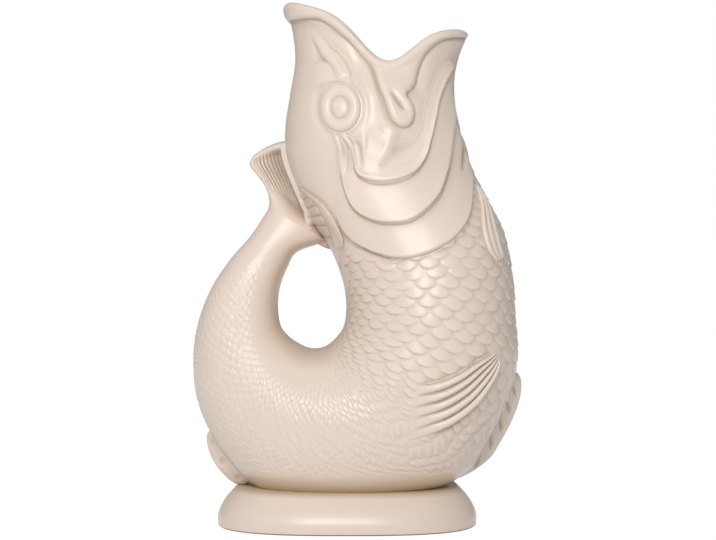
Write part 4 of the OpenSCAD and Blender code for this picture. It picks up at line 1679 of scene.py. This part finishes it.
class Kiln:
    """Makes the nodes of one material."""

    def __init__(self, name: str) -> None:
        """Starts an empty material.

        Args:
            name: Name of the material.
        """
        self.material = bpy.data.materials.new(name)
        self.material.use_nodes = True
        self.tree = self.material.node_tree
        self.tree.nodes.clear()

    def node(self, kind: str, settings: dict | None = None, sockets: dict | None = None) -> bpy.types.Node:
        """Adds a node.

        Args:
            kind: Type of the node.
            settings: Its properties, which are set first.
            sockets: Values or links of its input sockets, by name or number.

        Returns:
            The new node.
        """
        made = self.tree.nodes.new(kind)
        for key, value in (settings or {}).items():
            setattr(made, key, value)
        for key, value in (sockets or {}).items():
            if isinstance(value, Value):
                self.tree.links.new(value.socket, made.inputs[key])
            elif isinstance(value, bpy.types.NodeSocket):
                self.tree.links.new(value, made.inputs[key])
            else:
                made.inputs[key].default_value = value
        return made

    def maths(self, operation: str, *values: Value | float) -> Value:
        """Adds a Math node on values, in their order."""
        made = self.node("ShaderNodeMath", {"operation": operation}, dict(enumerate(values)))
        return Value(self, made.outputs[0])

    def attribute(self, name: str) -> Value:
        """Value stored on the points of the piece."""
        return Value(self, self.node("ShaderNodeAttribute", {"attribute_name": name}).outputs["Fac"])

    def noise(self, place: bpy.types.NodeSocket, scale: float, detail: float = 2.0) -> Value:
        """Soft noise of about one over scale metres."""
        made = self.node("ShaderNodeTexNoise", None, {"Vector": place, "Scale": scale, "Detail": detail})
        return Value(self, made.outputs["Fac"])

    def rays(self, *kinds: str) -> list[Value]:
        """Values that are 1 on rays of each kind."""
        path = self.node("ShaderNodeLightPath")
        return [Value(self, path.outputs[kind]) for kind in kinds]

    def mix(self, share: Value | float, first: object, second: object) -> bpy.types.NodeSocket:
        """Mixes two colours, by the share of the second."""
        sockets = dict(zip(COLOUR_MIX_INPUTS, (share, first, second)))
        return self.node("ShaderNodeMix", {"data_type": "RGBA"}, sockets).outputs[COLOUR_MIX_OUTPUT]


class Surround(Kiln):
    """Makes the nodes of the world round the jug."""

    def __init__(self, name: str) -> None:
        """Starts an empty world.

        Args:
            name: Name of the world.
        """
        self.world = bpy.data.worlds.new(name)
        self.world.use_nodes = True
        self.tree = self.world.node_tree
        self.tree.nodes.clear()


@dataclass(frozen=True)
class CreamGlaze:
    """Satin cream glaze, paler on ridges where it thins and a highlight is painted, and warm and tan in
    hollows where it pools and shade is painted.

    A fall is how much of a mask is lost over a metre.
    """

    cream: tuple[float, float, float] = (0.828, 0.694, 0.592)
    # Paler glaze on ridges, partly thinned glaze and partly painted highlight
    pale: tuple[float, float, float] = (0.855, 0.750, 0.668)
    # Warm tint: real stain and pooled glaze, and painted shade in the band above the foot
    tan_pool_and_shade: tuple[float, float, float] = (0.400, 0.300, 0.215)
    # Tan of pooled glaze in hollows and of painted shade in creases and recesses
    stain_and_shade: tuple[float, float, float] = (0.610, 0.465, 0.300)
    # Dark bottom edge of the foot: partly bare clay, partly painted contact shadow
    bare_and_shadow: tuple[float, float, float] = (0.160, 0.130, 0.120)
    roughness: float = 0.38
    uneven: float = 0.10
    coat: float = 0.20
    coat_roughness: float = 0.20
    ior: float = 1.48
    cloud_scale: float = 38.0
    cloud_detail: float = 3.0
    drift_scale: float = 11.0
    grain_scale: float = 420.0
    wave_scale: float = 130.0
    thin_glaze_and_highlight: float = 0.7
    # Weight of the tan in hollows, pooled glaze and painted shade, and what the cloud adds to it
    pooled_and_shaded: float = 0.46
    pooled_and_shaded_cloud: float = 0.34
    waist_start: float = 0.0172
    waist_rise: float = 2500.0
    waist: float = 0.0185
    waist_fall: float = 110.0
    waist_stain_and_shade: float = 0.85
    waist_even: float = 0.5
    waist_drift: float = 0.7
    hole_x: float = -0.0171
    hole_z: float = 0.1083
    hole_wide: float = 61.0
    hole_tall: float = 38.5
    hole_reach: float = 1.34
    hole_fall: float = 3.2
    hole_even: float = 0.1
    hole_drift: float = 0.6
    drift_middle: float = 0.55
    drift_stain: float = 0.15
    bare_and_shadow_height: float = 0.0007
    bare_and_shadow_fall: float = 4000.0
    bump_strength: float = 0.16
    bump_distance: float = 0.00025
    grain_share: float = 0.25

    def warmth(self, kiln: Kiln, place: bpy.types.NodeSocket, drift: Value) -> Value:
        """Warm tint just above the foot, partly pooled glaze and partly painted shade where the belly turns
        under, warmer round the finger hole and in soft random patches.

        Args:
            kiln: Maker of the material.
            place: Point on the jug.
            drift: Wide soft noise.

        Returns:
            Share of the warm tint, from 0 to 1.
        """
        parts = kiln.node("ShaderNodeSeparateXYZ", None, {0: place})
        across, height = (Value(kiln, parts.outputs[axis]) for axis in ("X", "Z"))
        low = (1.0 - (height - self.waist) * self.waist_fall).clamp()
        low = low * ((height - self.waist_start) * self.waist_rise).clamp()
        wide, tall = (across - self.hole_x) * self.hole_wide, (height - self.hole_z) * self.hole_tall
        ring = ((self.hole_reach - (wide * wide + tall * tall).work("SQRT")) * self.hole_fall).clamp()
        waist = low * (self.waist_even + drift * self.waist_drift) * self.waist_stain_and_shade
        hole = ring * (self.hole_even + drift * self.hole_drift)
        return (waist + hole + (drift - self.drift_middle) * self.drift_stain).clamp()

    def fire(self) -> bpy.types.Material:
        """Makes the material.

        Returns:
            The glaze, which reads the hollow and ridge of each piece.
        """
        kiln = Kiln("cream_glaze_fired")
        place = kiln.node("ShaderNodeTexCoord").outputs["Object"]
        height = Value(kiln, kiln.node("ShaderNodeSeparateXYZ", None, {0: place}).outputs["Z"])
        hollow, ridge = kiln.attribute("hollow"), kiln.attribute("ridge")
        cloud = kiln.noise(place, self.cloud_scale, self.cloud_detail)
        drift = kiln.noise(place, self.drift_scale)
        # Ridges paler: thinned glaze and painted highlight
        base = kiln.mix((ridge * self.thin_glaze_and_highlight).clamp(), (*self.cream, 1), (*self.pale, 1))
        # Tan in hollows: pooled glaze and painted shade
        pooled_and_shaded = (hollow * (self.pooled_and_shaded + cloud * self.pooled_and_shaded_cloud)).clamp()
        base = kiln.mix(pooled_and_shaded, base, (*self.tan_pool_and_shade, 1))
        # Warm tint above the foot, partly painted shade, and round the finger hole
        base = kiln.mix(self.warmth(kiln, place, drift), base, (*self.stain_and_shade, 1))
        # Darkest at the very bottom: bare clay and a painted contact shadow
        underside = ((self.bare_and_shadow_height - height) * self.bare_and_shadow_fall).clamp()
        base = kiln.mix(underside, base, (*self.bare_and_shadow, 1))
        grain = kiln.noise(place, self.grain_scale, self.cloud_detail)
        wave = kiln.noise(place, self.wave_scale)
        rough = self.roughness + (cloud - 0.5) * self.uneven + hollow * self.uneven
        bump = kiln.node("ShaderNodeBump", None, {
            "Strength": self.bump_strength, "Distance": self.bump_distance,
            "Height": grain * self.grain_share + wave})
        shader = kiln.node("ShaderNodeBsdfPrincipled", None, {
            "Base Color": base, "Roughness": rough, "IOR": self.ior, "Coat Weight": self.coat,
            "Coat Roughness": self.coat_roughness, "Normal": bump.outputs["Normal"]})
        kiln.node("ShaderNodeOutputMaterial", None, {"Surface": shader.outputs[0]})
        return kiln.material


@dataclass
class Studio:
    """White floor and surround, soft lamps and the camera at the photograph's angle."""

    fish: Fish
    lens: float = 83.2
    sensor: float = 36.0
    nearest: float = 0.01
    aim: tuple[float, float, float] = (0, 0, 0.12)
    # Name, place, length of the side and watts of each lamp
    lamps: tuple[tuple, ...] = (
        ("key_lamp", (-0.12, -1.12, 0.66), 0.50, 7.9),
        ("side_lamp", (-1.1, -0.55, 0.55), 0.7, 0.7),
        ("top_lamp", (-0.2, 0.1, 1.3), 0.9, 2.0))
    floor_size: float = 6
    floor_height: float = -0.0002
    paper: tuple[float, float, float, float] = (0.85, 0.85, 0.85, 1)
    paper_lit: float = 0.88
    paper_light: float = 1.10
    sky_light: float = 0.34
    sky_seen: float = 0.66

    def camera(self) -> None:
        """Adds the level camera."""
        fish = self.fish
        bpy.ops.object.select_all(action="DESELECT")
        place = (fish.camera_x, -fish.camera_distance, fish.camera_z)
        bpy.ops.object.camera_add(location=place, rotation=(math.pi / 2, 0, 0))
        camera = bpy.context.object
        camera.data.lens = self.lens
        camera.data.sensor_width = self.sensor
        camera.data.clip_start = self.nearest
        bpy.context.scene.camera = camera

    def lamp(self, name: str, place: tuple[float, float, float], size: float, power: float) -> None:
        """Adds a soft square lamp that points at the jug.

        Args:
            name: Name of the lamp.
            place: Its middle.
            size: Length of its side.
            power: Watts.
        """
        bpy.ops.object.light_add(type="AREA", location=place)
        lamp = bpy.context.object
        lamp.name = name
        lamp.data.size = size
        lamp.data.energy = power
        aim = Vector(self.aim) - Vector(place)
        lamp.rotation_euler = aim.to_track_quat("-Z", "Y").to_euler()

    def floor(self) -> None:
        """Adds a white floor that keeps the jug's soft shadow."""
        bpy.ops.object.select_all(action="DESELECT")
        bpy.ops.mesh.primitive_plane_add(size=self.floor_size, location=(0, 0, self.floor_height))
        floor = bpy.context.object
        floor.name = "studio_floor"
        kiln = Kiln("floor_paper")
        rays = kiln.rays("Is Camera Ray", "Is Glossy Ray")
        paper = kiln.node("ShaderNodeBsdfDiffuse", None, {"Color": self.paper})
        white = kiln.node("ShaderNodeEmission", None, {"Color": WHITE, "Strength": self.paper_light})
        share = (kiln.maths("ADD", *rays) * self.paper_lit).clamp()
        both = kiln.node("ShaderNodeMixShader", None, {0: share, 1: paper.outputs[0], 2: white.outputs[0]})
        kiln.node("ShaderNodeOutputMaterial", None, {"Surface": both.outputs[0]})
        floor.data.materials.append(kiln.material)

    def sky(self) -> None:
        """Sets a plain soft surround that the camera sees as white."""
        kiln = Surround("studio_surround")
        seen = kiln.maths("MAXIMUM", *kiln.rays("Is Camera Ray", "Is Transmission Ray"))
        strength = seen * self.sky_seen + self.sky_light
        back = kiln.node("ShaderNodeBackground", None, {"Color": WHITE, "Strength": strength})
        kiln.node("ShaderNodeOutputWorld", None, {"Surface": back.outputs[0]})
        bpy.context.scene.world = kiln.world

    def build(self) -> None:
        """Adds everything round the jug."""
        bpy.context.scene.view_settings.view_transform = "Standard"
        self.camera()
        self.floor()
        self.sky()
        for lamp in self.lamps:
            self.lamp(*lamp)


# Outlines of the sprigs in the side view: rows of places across each, as shares of length and height
GILLS = (
    ((0.306, 0.899), (0.320, 0.886), (0.316, 0.803), (0.365, 0.681)),
    ((0.274, 0.880), (0.290, 0.851), (0.314, 0.784), (0.370, 0.660)),
    ((0.247, 0.841), (0.269, 0.812), (0.312, 0.759), (0.371, 0.636)),
    ((0.229, 0.812), (0.259, 0.776), (0.308, 0.735), (0.370, 0.611)),
    ((0.223, 0.787), (0.247, 0.739), (0.304, 0.707), (0.366, 0.590)),
    ((0.208, 0.766), (0.232, 0.702), (0.294, 0.668), (0.352, 0.567)),
    ((0.183, 0.752), (0.202, 0.673), (0.270, 0.624), (0.310, 0.538)),
    ((0.150, 0.751), (0.156, 0.659), (0.202, 0.583), (0.235, 0.513)),
    ((0.123, 0.758), (0.109, 0.654), (0.132, 0.575), (0.159, 0.506)),
    ((0.108, 0.774), (0.063, 0.658), (0.069, 0.584), (0.081, 0.519)),
    ((0.093, 0.789), (0.031, 0.672), (0.017, 0.609), (0.011, 0.545)),
    ((0.078, 0.807), (0.019, 0.704), (-0.015, 0.657), (-0.028, 0.578)),
    ((0.060, 0.818), (0.009, 0.735), (-0.026, 0.721), (-0.049, 0.623)))
BROW = (
    ((-0.084, 0.928), (-0.069, 0.932)), ((-0.066, 0.909), (-0.036, 0.914)),
    ((-0.048, 0.886), (-0.006, 0.889)), ((-0.033, 0.868), (0.012, 0.868)),
    ((-0.021, 0.856), (0.015, 0.854)))
MOUTH_CORNER = (
    ((0.087, 0.848), (0.198, 0.848)), ((0.099, 0.830), (0.184, 0.826)),
    ((0.112, 0.810), (0.198, 0.809)), ((0.124, 0.789), (0.206, 0.789)),
    ((0.141, 0.771), (0.200, 0.772)), ((0.163, 0.761), (0.184, 0.761)))
PECTORAL_FIN = (
    ((0.453, 0.330), (0.459, 0.320)), ((0.393, 0.309), (0.438, 0.276)),
    ((0.330, 0.284), (0.381, 0.222)), ((0.264, 0.268), (0.297, 0.181)),
    ((0.192, 0.262), (0.180, 0.149)))
PELVIC_FIN = (
    ((0.384, 0.654), (0.392, 0.650)), ((0.396, 0.614), (0.426, 0.602)),
    ((0.402, 0.564), (0.447, 0.560)), ((0.420, 0.523), (0.462, 0.523)),
    ((0.453, 0.496), (0.468, 0.504)))


def sprigs(fish: Fish, clay: Clay, body: Body) -> list[Sprig]:
    """Lists the reliefs on the flanks.

    Args:
        fish: The skin that they lie on.
        clay: Maker of closed pieces.
        body: The shell that keeps their prints.

    Returns:
        One maker for each pair of sprigs.
    """
    kit = (fish, clay, body)
    return [
        GillPlates(*kit, "gill_cover", GILLS, rise=0.0029, edge=0.0018, print_share=0.6, count=230),
        RibbedFin(*kit, "pectoral_fin", PECTORAL_FIN, rise=0.0030, ribs=5, tail=0.30, print_share=0.4,
                  count=120, across=110),
        RibbedFin(*kit, "pelvic_fin", PELVIC_FIN, rise=0.0023, ribs=3, print_share=0.5, count=80),
        Fold(*kit, "brow", BROW, rise=0.0002, both_ends=True),
        Fold(*kit, "mouth_corner", MOUTH_CORNER, rise=0.0002, count=120, across=90),
    ]


def makers(fish: Fish) -> list[Maker]:
    """Lists the makers of all pieces, the shell after what leaves its print on it.

    Args:
        fish: The skin that all of them share.

    Returns:
        The makers, in the order of their work.
    """
    clay, prints = Clay(), Prints()
    kit = (fish, clay, prints)
    body = Body(*kit)
    return [
        *sprigs(fish, clay, body), Eye(*kit), TailFin(fish, clay), SideLobe(*kit),
        Keel(*kit, "front_keel", (11.4, 14.05), angle=8.0, rise=0.0065, ribs=6, slant=0.16),
        Keel(*kit, "rear_keel", (17.3, 18.45), angle=13.0, rise=0.0070, ribs=3, cut=0.22, recess_shade=0.25,
             taper=(0.45, 0.35)),
        body, Rim(fish, clay), Foot(clay),
    ]


def main() -> None:
    """Builds every piece, dresses it and sets up the studio."""
    logging.basicConfig(level=logging.INFO, format="%(message)s")
    fish, glaze = Fish(), CreamGlaze().fire()
    for maker in makers(fish):
        for node, piece in maker.build().items():
            piece.data.materials.append(glaze)
            bpy.ops.object.select_all(action="DESELECT")
            piece.select_set(True)
            bpy.context.view_layer.objects.active = piece
            bpy.ops.object.shade_smooth_by_angle(angle=SMOOTH_ANGLE)
            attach(piece, "root")
            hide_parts(node)
            LOG.info("%s: %d faces", piece.name, len(piece.data.polygons))
    Studio(fish).build()


if __name__ == "__main__":
    main()
